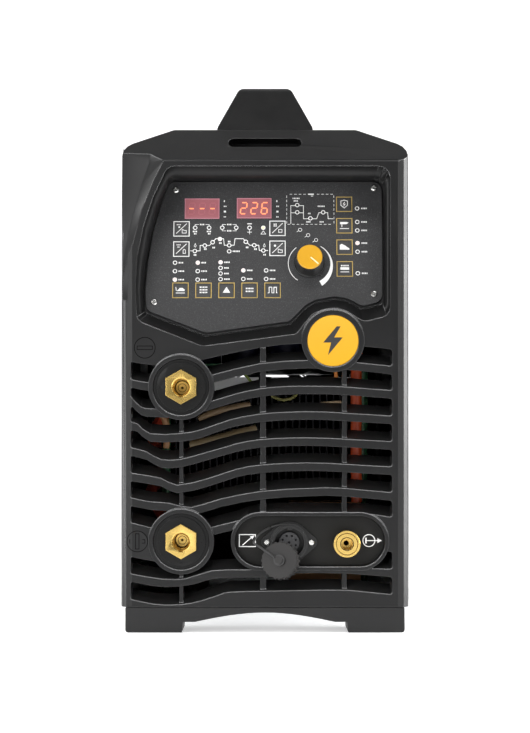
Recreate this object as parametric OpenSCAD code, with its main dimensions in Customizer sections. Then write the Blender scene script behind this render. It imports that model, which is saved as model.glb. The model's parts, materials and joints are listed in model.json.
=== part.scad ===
// TIG welding machine: a tall, narrow inverter power source with a moulded louvred front,
// a sunken control panel, two bayonet weld sockets, a remote-control socket and a gas outlet.
// X runs across the machine, Y from front to back, Z up. The origin is on the floor,
// in the middle of the overall length and width.

/* [Case] */
// Width of the moulded bezels at their base
body_w = 250; // [246:1:256]
// Distance between the faces of the front and rear bezels
body_len = 520; // [480:10:600]
// How far the sockets and fittings stand proud of each bezel face
fitting_proud = 22; // [22:1:30]
// Thickness of the moulded plastic walls
wall = 2.5; // [2:0.25:3]
// Thickness of the sheet-metal cover
sheet = 1.2; // [1:0.1:2]
// Depth of the front bezel, from its face to its rear edge
bezel_depth = 75; // [72:1:90]
// Depth of the rear bezel
rear_depth = 60; // [50:1:80]

/* [Control panel] */
// Lean of the panel, backwards at its top
panel_tilt = 14; // [12:1:15]
// Thickness of the panel plate
panel_t = 2; // [1.5:0.5:2]
// Side of a square key cap
key_w = 11.8; // [11:0.2:12]
// Travel of a key
key_travel = 0.8; // [0.4:0.1:1]

/* [Grille] */
// Height of the front edge of one slat
slat_h = 7.5; // [6:0.5:8]
// Depth of the slats, front to back
slat_depth = 18; // [12:1:20]
// Upward rake of the slats towards the back
slat_rake = 25; // [15:1:28]

/* [Fittings] */
// Radius of the bore of a weld socket
weld_bore_r = 6.6; // [6.5:0.1:7]
// Radius of the fan rotor
fan_r = 66; // [60:1:68]
// Radius of the cable hole in the mains gland
gland_bore_r = 6.5; // [5:0.5:8]

/* [Hidden] */
$fn = 48;
front_y = -body_len / 2;
rear_y = body_len / 2;
foot_top = 22;
deck_z = 442;
handle_z = 486;
top_half = 80;
cover_gap = 0.3;
cover_inset = wall + cover_gap;
cover_lap = 8;
lip_z = 409;
slope_run = 45;
weld_x = -72.5;
negative_z = 212.5;
positive_z = 79;
ring_r = 28.5;
collar_r = 24;
badge_x = 58.8;
badge_z = 252.6;
badge_r = 22.2;
pill_x = 38.8;
pill_z = 79.2;
pill_half = 65;
pill_r = 21.8;
pill_rim = 3.5;
plate_d = 7;
remote_x = 21;
remote_z = 78;
gas_x = 70.7;
gas_z = 77;
panel_z = 260;
panel_d = 12;
key_gap = 0.3;
board_w = -12.4;
knob_u = 39;
knob_v = 63.7;
shaft_r = 3;
shaft_gap = 0.06;
fan_z = 190;
switch_x = -70;
switch_z = 345;
gland_x = 72;
gland_z = 345;
inlet_x = -86;
inlet_z = 78;
eps = 0.02;

// ---------- geometry helpers ----------

function unit(v) = v / norm(v);

// Points of the arc that rounds corner q, between neighbours p and r, to a radius.
function corner_arc(p, q, r, radius, steps) =
    let (a = unit(p - q), b = unit(r - q), half = acos(a * b) / 2,
         c = q + unit(a + b) * radius / sin(half),
         s = q + a * radius / tan(half) - c,
         e = q + b * radius / tan(half) - c,
         from = atan2(s.y, s.x),
         turn = atan2(s.x * e.y - s.y * e.x, s * e))
    [for (k = [0:steps]) c + radius * [cos(from + turn * k / steps), sin(from + turn * k / steps)]];

// A closed outline from corners given as [x, z, radius]; a radius of 0 keeps the corner sharp.
function rounded(corners, steps = 3) =
    let (n = len(corners), at = function (i) [corners[i % n].x, corners[i % n].y])
    [for (i = [0:n - 1])
        each (corners[i].z == 0 ? [at(i)]
            : corner_arc(at(i + n - 1), at(i), at(i + 1), corners[i].z, steps))];

// One point of a Catmull-Rom curve, between p1 and p2.
function spline_point(p0, p1, p2, p3, t) =
    0.5 * (2 * p1 + (p2 - p0) * t + (2 * p0 - 5 * p1 + 4 * p2 - p3) * t * t
        + (3 * p1 - p0 - 3 * p2 + p3) * t * t * t);

// A smooth open curve through a list of points.
function spline(p, steps = 3) =
    let (n = len(p) - 1)
    [for (i = [0:n - 1]) for (k = [0:steps - 1])
        spline_point(p[max(i - 1, 0)], p[i], p[i + 1], p[min(i + 2, n)], k / steps), p[n]];

// The corners of a closed outline moved inwards by t, for corners given anticlockwise.
function inset(corners, t) =
    let (n = len(corners), at = function (i) [corners[(i + n) % n].x, corners[(i + n) % n].y])
    [for (i = [0:n - 1])
        let (a = unit(at(i) - at(i - 1)), b = unit(at(i + 1) - at(i)),
             na = [-a.y, a.x], nb = [-b.y, b.x], m = (na + nb) / (1 + na * nb))
        [at(i).x + m.x * t, at(i).y + m.y * t, corners[i].z]];

// Draws a flat [x, z] shape from one depth behind the front face to another.
module from_front(d0, d1) {
    translate([0, front_y + d1, 0]) rotate([90, 0, 0]) linear_extrude(d1 - d0) children();
}

// Draws a flat [y, z] side profile across the width.
module across(half_w) {
    rotate([90, 0, 90]) translate([0, 0, -half_w]) linear_extrude(2 * half_w) children();
}

// A round bar along Y between two depths, centred at x and z.
module bar(x, z, r, d0, d1) {
    translate([x, front_y + d1, z]) rotate([90, 0, 0]) cylinder(r = r, h = d1 - d0);
}

// A stadium outline with its long axis along x.
module stadium(half, r) {
    square([2 * (half - r), 2 * r], center = true);
    for (s = [-1, 1]) translate([s * (half - r), 0]) circle(r);
}

// Places children in the panel's frame: x across, y up the panel and z out of it.
module on_panel() {
    translate([0, front_y + panel_d, panel_z]) rotate([90 - panel_tilt, 0, 0]) children();
}

// The place in the case of a point [u, v] of the panel at height w above it.
function panel_point(p, w) = [
    p.x,
    front_y + panel_d + p.y * sin(panel_tilt) - w * cos(panel_tilt),
    panel_z + p.y * cos(panel_tilt) + w * sin(panel_tilt)
];

// A closed solid skinned over rings with equal numbers of points.
module skin(rings) {
    n = len(rings[0]);
    m = len(rings);
    polyhedron(
        points = [for (r = rings) each r],
        faces = [
            [for (i = [n - 1:-1:0]) i],
            [for (i = [0:n - 1]) (m - 1) * n + i],
            for (r = [0:m - 2]) for (i = [0:n - 1])
                each [[r * n + i, r * n + (i + 1) % n, (r + 1) * n + (i + 1) % n],
                      [r * n + i, (r + 1) * n + (i + 1) % n, (r + 1) * n + i]]
        ]);
}

// A tube of n sides swept along a route.
module tube_along(route, r, n = 8) {
    last = len(route) - 1;
    skin([for (i = [0:last])
        let (t = unit(route[min(i + 1, last)] - route[max(i - 1, 0)]),
             side = unit(cross(t, abs(t.x) > 0.9 ? [0, 0, 1] : [1, 0, 0])), up = cross(side, t))
        [for (k = [0:n - 1]) route[i] + r * (cos(360 * k / n) * side + sin(360 * k / n) * up)]]);
}

// ---------- case ----------

// Front view of the case: upright sides, sloping shoulders and a flat top.
function case_corners(t) = inset([
    [-body_w / 2, foot_top, 0], [body_w / 2, foot_top, 0], [body_w / 2 - 0.7, 423, 14],
    [top_half, deck_z, 10], [-top_half, deck_z, 10], [-body_w / 2 + 0.7, 423, 14]
], t);

// Solid form of the front bezel, t inside its skin, running from the face to depth d1.
module front_form(t, d1) {
    intersection() {
        from_front(t, d1) polygon(rounded(case_corners(t)));
        linear_extrude(deck_z)
            polygon(rounded(inset([
                [-body_w / 2, front_y, 10], [body_w / 2, front_y, 10],
                [body_w / 2, front_y + d1 + 1, 0], [-body_w / 2, front_y + d1 + 1, 0]
            ], t)));
        across(body_w)
            polygon(rounded(inset([
                [front_y, foot_top, 0], [front_y + d1 + 20, foot_top, 0],
                [front_y + d1 + 20, deck_z, 0], [front_y + slope_run, deck_z, 6], [front_y, lip_z, 3]
            ], t)));
    }
}

// Edge of the sunken panel recess in the bezel face, as [x, z, radius].
recess_corners = [
    [-54, 248.3, 16], [27.2, 258.9, 6], [32.8, 266.5, 4], [41, 276.3, 9], [50.8, 280.3, 14],
    [62, 281.5, 14], [70.9, 278.9, 14], [79, 273.6, 10], [86, 269.6, 8], [108.2, 275, 9],
    [108.2, 403.7, 10], [-84, 403.7, 9], [-97, 376.5, 40], [-105, 352, 40], [-110.3, 327, 50],
    [-112, 300, 40], [-111, 270.5, 9]
];

// Edge of the panel plate, in its own frame, corner for corner with the recess.
panel_corners = [
    [-51.5, 0, 12], [21.5, 10.6, 6], [28.2, 17.5, 4], [35.8, 25.6, 9], [44.2, 30.3, 14],
    [61, 33.4, 14], [70.5, 32, 14], [78.5, 28.2, 10], [84.6, 24.3, 8], [102.6, 29, 8],
    [103.6, 141, 8], [-84, 141, 5], [-91.5, 119.5, 40], [-98.4, 93, 40], [-102.6, 66, 50],
    [-104.8, 40, 40], [-103.6, 20.5, 8]
];

// The plate itself stops just short of the recess at the top, where the wall leans over it.
plate_corners = [for (p = panel_corners) [p.x, p.y > 140 ? p.y - 1 : p.y, p.z]];

function ring_on_face(corners, d) = [for (p = rounded(corners)) [p.x, front_y + d, p.y]];
function ring_on_panel(corners, w) = [for (p = rounded(corners)) panel_point(p, w)];

// The hollow of the recess, and the tub that walls it in.
module recess() {
    skin([
        ring_on_face(recess_corners, -4),
        ring_on_face(recess_corners, 0.3),
        ring_on_panel(panel_corners, -panel_t - wall - 2)
    ]);
}

module recess_tub() {
    intersection() {
        from_front(wall / 2, bezel_depth - 5)
            polygon([for (p = inset(recess_corners, -3)) [p.x, p.y]]);
        on_panel() translate([-150, -60, -panel_t - wall]) cube([300, 260, 90]);
    }
}

// Sweeping facets down the left of the face: [z, x of the crest, x of the foot of the facet].
facet_line = [
    [425, -86, -98], [408, -88, -100.5], [390, -97, -107], [368, -106, -113], [345, -112.5, -119],
    [325, -117, -122.5], [305, -120, -124], [290, -123, -126]
];

module left_facets() {
    skin([for (p = facet_line)
        let (fall = max((p.x - 290) / 125 * 9, 0.01))
        [[-130, front_y - 3, p.x], [p.y, front_y - 3, p.x], [p.y, front_y - eps, p.x],
         [p.z, front_y + fall, p.x], [-130, front_y + fall + 1.5, p.x]]]);
}

// Solid plastic behind the facets, as deep as they fall away and a wall more.
module facet_backing() translate([-123.5, front_y, 0]) rotate([90, 0, 90]) linear_extrude(39)
    polygon([[1, 288], [16, 288], [16, 419.4], [1, 408.4]]);

// Upper edges of the grille slats, from left to right.
slat_tops = [
    [[-116, 219.5], [-100, 216.5], [-72, 217], [-45, 223.5], [-5, 233], [38, 236], [79, 234],
     [110, 230.7]],
    [[-116, 204.5], [-107, 195.5], [-96, 194], [-72, 193.5], [-45, 201], [-25, 207], [-5, 211.3],
     [17, 213.3], [43, 213.7], [69, 213], [110, 209.8]],
    [[-116, 182.3], [-110, 181], [-99, 172.5], [-72, 172.8], [-55, 176], [-31, 184.4],
     [-5, 189.4], [23, 191.3], [53, 191.3], [110, 187.8]],
    [[-116, 160.5], [-102, 156.7], [-90, 150.2], [-73, 150.4], [-50, 156.5], [-25, 163.7],
     [-5, 167.4], [23, 168.9], [53, 168.6], [110, 165.6]],
    [[-116, 138.5], [-90, 134], [-76, 128], [-50, 133.5], [-25, 141.7], [-5, 145.3], [23, 147],
     [53, 147], [110, 143.8]],
    [[-116, 117], [-99, 113.6], [-83, 112.5], [-64, 108.7], [-38, 116.2], [-2, 122.8],
     [39, 125.4], [66, 125.4], [110, 121.5]]
];
// Edges that bound the highest opening and the openings round the socket plate.
grille_top = [[-116, 234.2], [-95, 231], [-72, 232], [-54, 236], [-4, 246.5], [33, 250],
              [85, 247.5], [110, 244.8]];
plateau_top = [[-116, 95.5], [-98, 91], [-72, 84], [-48, 91], [-24, 97], [0, 103.6], [60, 103.6],
               [90, 103], [110, 100]];
plateau_base = [[-116, 65.5], [-96, 61.5], [-84, 62], [-60, 79], [-46, 84], [-29, 88],
                [-20, 88], [60, 75], [98, 70.3], [110, 70.3]];
sill_top = [[-116, 51.3], [-91, 47], [-69, 47], [-46, 54], [-15, 54.8], [30, 56], [80, 56],
            [110, 55.3]];
sill_base = [[-116, 43.9], [-95, 39.9], [-77, 39.5], [-60, 42.1], [-42, 46.9], [-2, 47.8],
             [22, 51], [70, 51], [110, 47.7]];
grille_base = [[-116, 29.2], [-95, 24.9], [-73, 24.6], [-55, 28], [-38, 33.6], [-30, 35.5],
               [-2, 36.3], [30, 37], [66, 37.2], [84, 36], [110, 33.2]];

function lowered(edge) = [for (p = edge) p - [0, slat_h]];
opening_roofs = concat([grille_top], [for (s = slat_tops) lowered(s)], [plateau_base, sill_base]);
opening_floors = concat(slat_tops, [plateau_top, sill_top, grille_base]);

// One opening's outline, with its right-hand corners and lower left corner eased.
function opening(i) =
    let (roof = spline(opening_roofs[i], 2), floor = spline(opening_floors[i], 2), n = len(floor),
         all = concat([for (p = floor) [p.x, p.y, 0]],
                      [for (k = [len(roof) - 1:-1:0]) [roof[k].x, roof[k].y, 0]]),
         round_at = [[0, 1.2], [n - 1, 2], [n, 2.5], [len(all) - 1, 1.2]])
    rounded([for (k = [0:len(all) - 1])
        let (hit = [for (c = round_at) if (c.x == k) c.y])
        [all[k].x, all[k].y, len(hit) > 0 ? hit[0] : 0]], 3);

// The openings, swept upwards to the back at the slats' rake.
module opening_cuts() {
    for (i = [0:len(opening_floors) - 1])
        translate([0, front_y, 0]) rotate([90 + slat_rake, 0, 0])
            translate([0, 0, -160]) linear_extrude(240)
                polygon([for (p = opening(i)) [p.x, p.y * cos(slat_rake)]]);
}

// The part of the face that the slats are cut from, grown by g.
module grille_slab(g)
    translate([-body_w / 2 - g, front_y - 1, foot_top - g])
        cube([body_w + 2 * g, slat_depth + 1 + g, 229 + g]);

rib_places = [[weld_x, 3.4], [-1.7, 5], [68.8, 4]];

module ribs() {
    intersection() {
        for (r = rib_places)
            translate([r.x - r.y / 2, front_y + 2, foot_top])
                cube([r.y, slat_depth - 2, 225 - (r.x < 60 ? 0 : 8)]);
        front_form(0, bezel_depth);
    }
}

// Rounded pocket behind the slot in the sloping top.
slot_z = 427.6;
slot_half = 32.2;
slot_r = 4.5;
slot_floor = 62;

// The moulding before its panel window, socket seats and holes are opened.
module bezel_blank() {
    difference() {
        union() {
            difference() {
                front_form(0, bezel_depth);
                difference() {
                    front_form(wall, bezel_depth + 10);
                    grille_slab(0);
                }
                intersection() {
                    opening_cuts();
                    grille_slab(1);
                }
            }
            ribs();
            // Round housings of the weld sockets, slightly proud of the grille.
            for (z = [negative_z, positive_z]) bar(weld_x, z, ring_r, -2.5, slat_depth + 3);
            bar(badge_x, badge_z, badge_r + 5, -1.5, 0.8);
            bar(badge_x, badge_z, badge_r + 1.5, 0.8 - eps, 7);
            translate([0, 0, pill_z]) from_front(-1.5, slat_depth)
                translate([pill_x, 0]) stadium(pill_half + pill_rim, pill_r + pill_rim);
            recess_tub();
            facet_backing();
            intersection() {
                translate([0, 0, slot_z]) from_front(5, slot_floor + 2)
                    stadium(slot_half + 2, slot_r + 2);
                front_form(0, bezel_depth);
            }
        }
        recess();
    }
}

// Ledge round the floor of the recess, which the panel is screwed to.
module panel_ledge() {
    on_panel() translate([0, 0, -panel_t - wall + 0.1]) linear_extrude(wall - 0.1) difference() {
        polygon([for (p = inset(panel_corners, -2)) [p.x, p.y]]);
        polygon([for (p = inset(panel_corners, 11.5)) [p.x, p.y]]);
    }
}

module front_bezel() color("dimgray") {
    difference() {
        union() {
            bezel_blank();
            panel_ledge();
        }
        left_facets();
        for (s = panel_screw_places) on_panel() translate([s.x, s.y, -8]) cylinder(r = 1.5, h = 7);
        // Seats of the badge and of the connector plate.
        bar(badge_x, badge_z, badge_r + 0.2, -3, 1.2);
        translate([0, 0, pill_z]) from_front(-3, plate_d + 2)
            translate([pill_x, 0]) stadium(pill_half, pill_r);
        translate([0, 0, pill_z]) from_front(-3, slat_depth + 3)
            translate([pill_x, 0]) stadium(pill_half - 4, pill_r - 4);
        translate([0, 0, slot_z]) from_front(-3, slot_floor) stadium(slot_half, slot_r);
        for (z = [negative_z, positive_z]) {
            bar(weld_x, z, collar_r + 0.3, -3, 3);
            bar(weld_x, z, 17, 2.9, slat_depth + 5);
        }
        for (p = case_screw_places) if (p.y < 0) screw_hole(p);
    }
}

// Solid form of the rear bezel, a mirror of the case outline with rounded rear edges.
module rear_form(t) {
    intersection() {
        from_front(body_len - rear_depth - (t > 0 ? 10 : 0), body_len - t)
            polygon(rounded(case_corners(t)));
        linear_extrude(deck_z)
            polygon(rounded(inset([
                [-body_w / 2, rear_y - rear_depth - 20, 0], [body_w / 2, rear_y - rear_depth - 20, 0],
                [body_w / 2, rear_y, 10], [-body_w / 2, rear_y, 10]
            ], t)));
        across(body_w)
            polygon(rounded(inset([
                [rear_y - rear_depth - 20, foot_top, 0], [rear_y, foot_top, 0], [rear_y, lip_z, 3],
                [rear_y - slope_run, deck_z, 6], [rear_y - rear_depth - 20, deck_z, 0]
            ], t)));
    }
}

module rear_bezel() color("dimgray") {
    difference() {
        rear_form(0);
        rear_form(wall);
        bar(0, fan_z, fan_r + 4, body_len - 10, body_len + 5);
        bar(switch_x, switch_z, 12, body_len - 10, body_len + 5);
        bar(gland_x, gland_z, 11, body_len - 10, body_len + 5);
        bar(inlet_x, inlet_z, 6.6, body_len - 10, body_len + 5);
        for (sx = [-1, 1], sz = [-1, 1])
            bar(sx * 62.5, fan_z + sz * 62.5, 2.2, body_len - 10, body_len + 5);
        for (sx = [-1, 1], sz = [-1, 1])
            bar(switch_x + sx * 24, switch_z + sz * 24, 2.1, body_len - 10, body_len + 5);
        for (p = case_screw_places) if (p.y > 0) screw_hole(p);
    }
}

vent_rows = 9;
vent_pitch = 11;

module case_cover() color([0.13, 0.13, 0.14]) {
    difference() {
        from_front(bezel_depth - cover_lap, body_len - rear_depth + cover_lap)
            polygon(rounded(case_corners(cover_inset)));
        from_front(0, body_len) polygon(rounded(case_corners(cover_inset + sheet)));
        translate([-150, front_y, 0]) cube([300, body_len, foot_top + cover_inset + 3]);
        // Two blocks of cooling slots in each side.
        for (d = [110, 350], k = [0:vent_rows - 1])
            translate([0, front_y + d + 30, 150 + k * vent_pitch])
                across(150) stadium(30, 2.2);
        for (p = case_screw_places) screw_hole(p);
        for (s = [-1, 1], d = handle_screw_depths)
            translate([s * handle_screw_x, front_y + d, deck_z - 12]) cylinder(r = 2.7, h = 20);
    }
}

tray_z = foot_top + cover_inset + 0.2;

module base_plate() color("darkgray") {
    half = body_w / 2 - cover_inset - sheet - 0.4;
    difference() {
        union() {
            translate([-half, front_y + 22, tray_z]) cube([2 * half, body_len - 36, 2]);
            for (s = [-1, 1])
                translate([s * (half - 0.9) - 0.9, front_y + 22, tray_z])
                    cube([1.8, body_len - 36, 24]);
        }
        for (p = case_screw_places) screw_hole(p);
    }
}

// ---------- feet and handle ----------

// Depths of the feet along the machine and the arch between their pads.
foot_len = 58;
arch_half = 61;

function foot_outline() = concat(
    rounded([[-121, foot_top - 0.1, 0], [-121, 0, 2.5], [-71.8, 0, 0], [-71.2, 9.2, 0]]),
    [for (k = [-8:8]) [k / 8 * arch_half, 9.2 + 8.1 * cos(k / 8 * 90)]],
    rounded([[71.2, 9.2, 0], [71.8, 0, 0], [121, 0, 2.5], [121, foot_top - 0.1, 0]]));

module front_foot() color("dimgray") from_front(0, foot_len) polygon(foot_outline());

module rear_foot() color("dimgray")
    from_front(body_len - foot_len, body_len) polygon(foot_outline());

handle_start = 46;
handle_screw_x = 22;
handle_screw_depths = [92, body_len - 80];

module handle() color([0.2, 0.2, 0.2]) {
    deck = deck_z - cover_inset;
    difference() {
        intersection() {
            from_front(handle_start, body_len - handle_start)
                polygon(rounded([[-43, deck, 0], [43, deck, 0], [42, deck_z + 3, 6],
                                 [22.5, handle_z, 8], [-22.5, handle_z, 8], [-42, deck_z + 3, 6]]));
            across(60) polygon(rounded([
                [front_y + handle_start, deck_z + 0.05, 0],
                [front_y + bezel_depth + cover_gap, deck_z + 0.05, 0],
                [front_y + bezel_depth + cover_gap, deck, 0],
                [front_y + 112, deck, 0], [front_y + 124, 470, 14],
                [rear_y - 124, 470, 14], [rear_y - 112, deck, 0],
                [rear_y - rear_depth - cover_gap, deck, 0],
                [rear_y - rear_depth - cover_gap, deck_z + 0.05, 0],
                [rear_y - handle_start, deck_z + 0.05, 0],
                [rear_y - 84, handle_z, 16], [front_y + 84, handle_z, 16]
            ], 6));
            linear_extrude(handle_z + 1) polygon(rounded([
                [-43, front_y, 0], [43, front_y, 0], [43, front_y + 104, 30],
                [19, front_y + 140, 30], [19, rear_y - 140, 30], [43, rear_y - 104, 30],
                [43, rear_y, 0], [-43, rear_y, 0], [-43, rear_y - 104, 30],
                [-19, rear_y - 140, 30], [-19, front_y + 140, 30], [-43, front_y + 104, 30]
            ], 6));
        }
        for (s = [-1, 1], d = handle_screw_depths)
            translate([s * handle_screw_x, front_y + d, deck - 1]) cylinder(r = 2.5, h = 16);
    }
}

// Screws through the cover's sides, as [side, end, height, depth]; and their clearance holes.
case_screw_places = [
    for (s = [-1, 1], z = [60, 210, 360]) each [
        [s, -1, z, bezel_depth - 5], [s, 1, z, body_len - rear_depth + 5]],
    for (s = [-1, 1], d = [190, 330]) [s, 0, tray_z + 14, d]
];

module screw_hole(p)
    translate([p.x * (body_w / 2 - 12), front_y + p[3], p.z]) rotate([0, p.x * 90, 0])
        cylinder(r = 2.1, h = 20);

// A pan-head screw whose head bears on z = 0 and whose shank runs down from it.
module pan_screw(r, head_r, head_h, length) {
    difference() {
        union() {
            cylinder(r = head_r, h = head_h * 0.55);
            translate([0, 0, head_h * 0.55])
                cylinder(r1 = head_r, r2 = head_r * 0.72, h = head_h * 0.45);
            translate([0, 0, -length]) cylinder(r = r, h = length + eps);
        }
        for (a = [0, 90]) rotate([0, 0, a])
            translate([-head_r * 0.55, -head_r * 0.11, head_h * 0.4])
                cube([head_r * 1.1, head_r * 0.22, head_h]);
    }
}

module case_screws() color("silver") {
    for (p = case_screw_places) {
        seat = body_w / 2 - (p.y == 0 ? cover_inset : 0) - (p.y != 0 ? 0.7 * (p.z - foot_top) / 401 : 0);
        translate([p.x * (seat + (p.y == 0 ? -0.0 : 0)), front_y + p[3], p.z])
            rotate([0, p.x * 90, 0]) pan_screw(2, 4, 2.2, 5.2);
    }
    for (s = [-1, 1], d = handle_screw_depths)
        translate([s * handle_screw_x, front_y + d, deck_z - cover_inset - sheet])
            rotate([180, 0, 0]) pan_screw(2.4, 5, 3, 12);
}

// ---------- control panel ----------

panel_screw_places = [[-79, 132.3], [96.4, 134.2], [-97, 28], [95.3, 35.5]];
key_row_v = 38.5;
key_row_u = -74;
key_pitch = 20.15;
key_col_u = 70;
key_col_v = [118.4, 98.3, 78.4, 58.2];
display_places = [[-55.6, 114.7], [-9.6, 115.1]];
display_size = [30.6, 18.8];
// Lamps of the panel, in columns and rows.
led_places = concat(
    [for (u = [-79, -59], k = [0:2]) [u, 48.8 + 7.8 * k]],
    [for (k = [0:3]) [-39, 49.2 + 5.2 * k]],
    [for (u = [-19, 1], k = [0:1]) [u, 49.4 + 7.9 * k]],
    [for (u = [-61.6, -49.3, -37.7, -25.4, -13.6, -1.5]) [u, 96.9]],
    [[-61.7, 75.2], [-53, 80.3], [-46.1, 83.4], [-39.7, 86.4], [-31.5, 80.5], [-31.5, 75],
     [-16.9, 83.8], [-9.5, 80.6], [-1.5, 75.7]],
    [for (v = [54.6, 74.6, 82.6, 94.4, 102.3, 115]) [81.4, v]],
    [[28.5, 118.1], [28.5, 111.3], [40.1, 105.7], [51.4, 111.3]]);
led_r = 1.3;

key_places = concat(
    [for (k = [0:4]) [key_row_u + k * key_pitch, key_row_v]],
    [for (v = key_col_v) [key_col_u, v]],
    [[-73.6, 95.4], [-73.6, 76.6], [11, 95.9], [11, 77.3]]);

module control_panel() color([0.25, 0.25, 0.26]) on_panel() {
    hole = key_w + 2 * key_gap;
    difference() {
        translate([0, 0, -panel_t]) linear_extrude(panel_t)
            polygon(rounded(inset(plate_corners, 0.15)));
        for (p = key_places) translate([p.x, p.y, 0]) cube([hole, hole, 3 * panel_t], center = true);
        for (p = display_places) translate([p.x, p.y, 0])
            cube([display_size.x + 0.4, display_size.y + 0.4, 3 * panel_t], center = true);
        for (p = led_places) translate([p.x, p.y, -4]) cylinder(r = led_r + 0.1, h = 8, $fn = 24);
        for (p = panel_screw_places) translate([p.x, p.y, -4]) cylinder(r = 1.6, h = 8);
        translate([knob_u, knob_v, -4]) cylinder(r = 4.6, h = 8);
    }
}

module panel_screws() color("silver")
    for (p = panel_screw_places) on_panel() translate([p.x, p.y, 0]) pan_screw(1.4, 2.8, 1.6, 6);

module display_windows() color([0.6, 0.1, 0.12])
    for (p = display_places) on_panel() translate([p.x, p.y, -0.6])
        cube([display_size.x, display_size.y, 1.8], center = true);

module indicator_leds() color([0.85, 0.85, 0.85])
    for (p = led_places) on_panel() translate([p.x, p.y, -panel_t])
        cylinder(r = led_r, h = panel_t + 0.2, $fn = 24);

module control_board() color("darkgreen") on_panel() {
    difference() {
        union() {
            translate([-84, 38, board_w - 1.6]) cube([172, 94, 1.6]);
            for (p = display_places) translate([p.x - 14, p.y - 8.5, board_w - eps])
                cube([28, 17, -board_w - 2.2]);
            for (p = [[-80, 62], [-76, 118], [84, 42], [84, 122]])
                translate([p.x, p.y, board_w - eps]) cylinder(r = 2.2, h = -board_w - panel_t - 0.1);
        }
        translate([knob_u, knob_v, board_w - 5]) cylinder(r = 1, h = 8);
    }
}

module encoder_body() color("gray") on_panel() translate([knob_u, knob_v, 0]) {
    difference() {
        union() {
            translate([-6.5, -6.5, board_w]) cube([13, 13, 8]);
            translate([0, 0, board_w + 8 - eps]) cylinder(r = 4.4, h = 5 - board_w - 8);
            translate([0, 0, 0.05]) cylinder(r = 6, h = 2.2, $fn = 6);
        }
        translate([0, 0, board_w + 0.5]) cylinder(r = shaft_r + shaft_gap, h = 40);
    }
}

plunger_w = board_w + 1.5;

module encoder_plunger() color("silver") on_panel()
    translate([knob_u, knob_v, plunger_w]) cylinder(r = shaft_r, h = 0.8);

module encoder_shaft() color("silver") on_panel()
    translate([knob_u, knob_v, plunger_w + 0.8]) cylinder(r = shaft_r, h = 14 - plunger_w - 0.8);

knob_h = 17;

module knob() color([0.06, 0.06, 0.06]) on_panel() translate([knob_u, knob_v, 0]) {
    difference() {
        union() {
            rotate_extrude() polygon([[0, 1.4], [13.4, 1.4], [13.4, 2.8], [12.6, 3.6],
                                      [11.3, knob_h], [0, knob_h]]);
            // Pointer that stands out of the skirt.
            rotate([0, 0, -47]) translate([10, 0, 1.4]) linear_extrude(3)
                polygon([[0, -2.6], [6.4, 0], [0, 2.6]]);
        }
        translate([0, 0, 1]) cylinder(r = 8.5, h = 5.5);
        translate([0, 0, 1]) cylinder(r = shaft_r + 0.01, h = 13);
    }
}

module knob_cap() color("gold") on_panel() translate([knob_u, knob_v, knob_h]) {
    difference() {
        rotate_extrude() polygon([[0, 0], [11, 0], [11, 1.2], [10.4, 1.8], [0, 1.8]]);
        rotate([0, 0, -47]) translate([1.5, -0.35, 1.5]) cube([8.2, 0.7, 1]);
    }
}

// A key: a square cap in the panel's hole, a flange that keeps it in, and a stem to the board.
module key(index) color([0.16, 0.16, 0.17])
    on_panel() translate([key_places[index].x, key_places[index].y, 0]) {
        translate([0, 0, -panel_t - 1.3]) linear_extrude(1) square(key_w + 2, center = true);
        translate([0, 0, -panel_t - 0.3 - eps]) linear_extrude(panel_t + 1.1) square(key_w, center = true);
        translate([0, 0, board_w + key_travel + 0.3])
            cylinder(r = 1.6, h = -board_w - key_travel - panel_t - 0.9, $fn = 24);
    }

// ---------- badge and sockets ----------

module badge() color("gold") bar(badge_x, badge_z, badge_r, -0.8, 1.2);

// Moulded insulator of a weld socket, with its rear nut.
module socket_body(z) color([0.08, 0.08, 0.08]) {
    difference() {
        union() {
            bar(weld_x, z, collar_r, -1, 3);
            bar(weld_x, z, 21, -3, -1 + eps);
            bar(weld_x, z, 16.8, 3 - eps, 42);
            translate([weld_x, front_y + slat_depth + 12, z]) rotate([90, 0, 0])
                cylinder(r = 24, h = 7.9, $fn = 6);
        }
        bar(weld_x, z, 11.5, -4, 50);
        socket_hex(z, 15.2);
        for (a = [0:90:270]) translate([weld_x, front_y - 2.5, z]) rotate([90, a, 0])
            translate([18, 0, 0]) cylinder(r = 0.9, h = 2, $fn = 16);
    }
}

// Hexagonal front of the contact, one corner up.
module socket_hex(z, r)
    translate([weld_x, front_y + 1, z]) rotate([90, 30, 0]) cylinder(r = r, h = 7.5, $fn = 6);

// Brass contact: a bayonet bore with one keyway, and a threaded tail for the cable.
module socket_contact(z) color("goldenrod") {
    difference() {
        union() {
            socket_hex(z, 15.1);
            bar(weld_x, z, 11.4, 1 - eps, 46);
            bar(weld_x, z, 5, 46 - eps, 62);
        }
        bar(weld_x, z, weld_bore_r, -8, 25);
        translate([weld_x, front_y - 5, z]) rotate([90, 0, 0])
            cylinder(r1 = weld_bore_r, r2 = weld_bore_r + 1.6, h = 1.6);
        translate([weld_x - 1.9, front_y - 7, z - weld_bore_r - 2.4]) cube([3.8, 22, 6]);
    }
}

module negative_socket_body() socket_body(negative_z);
module negative_socket_contact() socket_contact(negative_z);
module positive_socket_body() socket_body(positive_z);
module positive_socket_contact() socket_contact(positive_z);

module connector_plate() color([0.07, 0.07, 0.07]) {
    difference() {
        translate([0, 0, pill_z]) from_front(plate_d, plate_d + 2)
            translate([pill_x, 0]) stadium(pill_half - 0.2, pill_r - 0.2);
        bar(remote_x, remote_z, 13.6, 0, 20);
        bar(gas_x, gas_z, 9.2, 0, 20);
        for (s = [-1, 1]) bar(remote_x + s * 19.2, remote_z, 1.6, 0, 20);
    }
}

// Depths of the remote socket's flange and rim.
flange_t = 2.4;
rim_d = -5;

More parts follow.
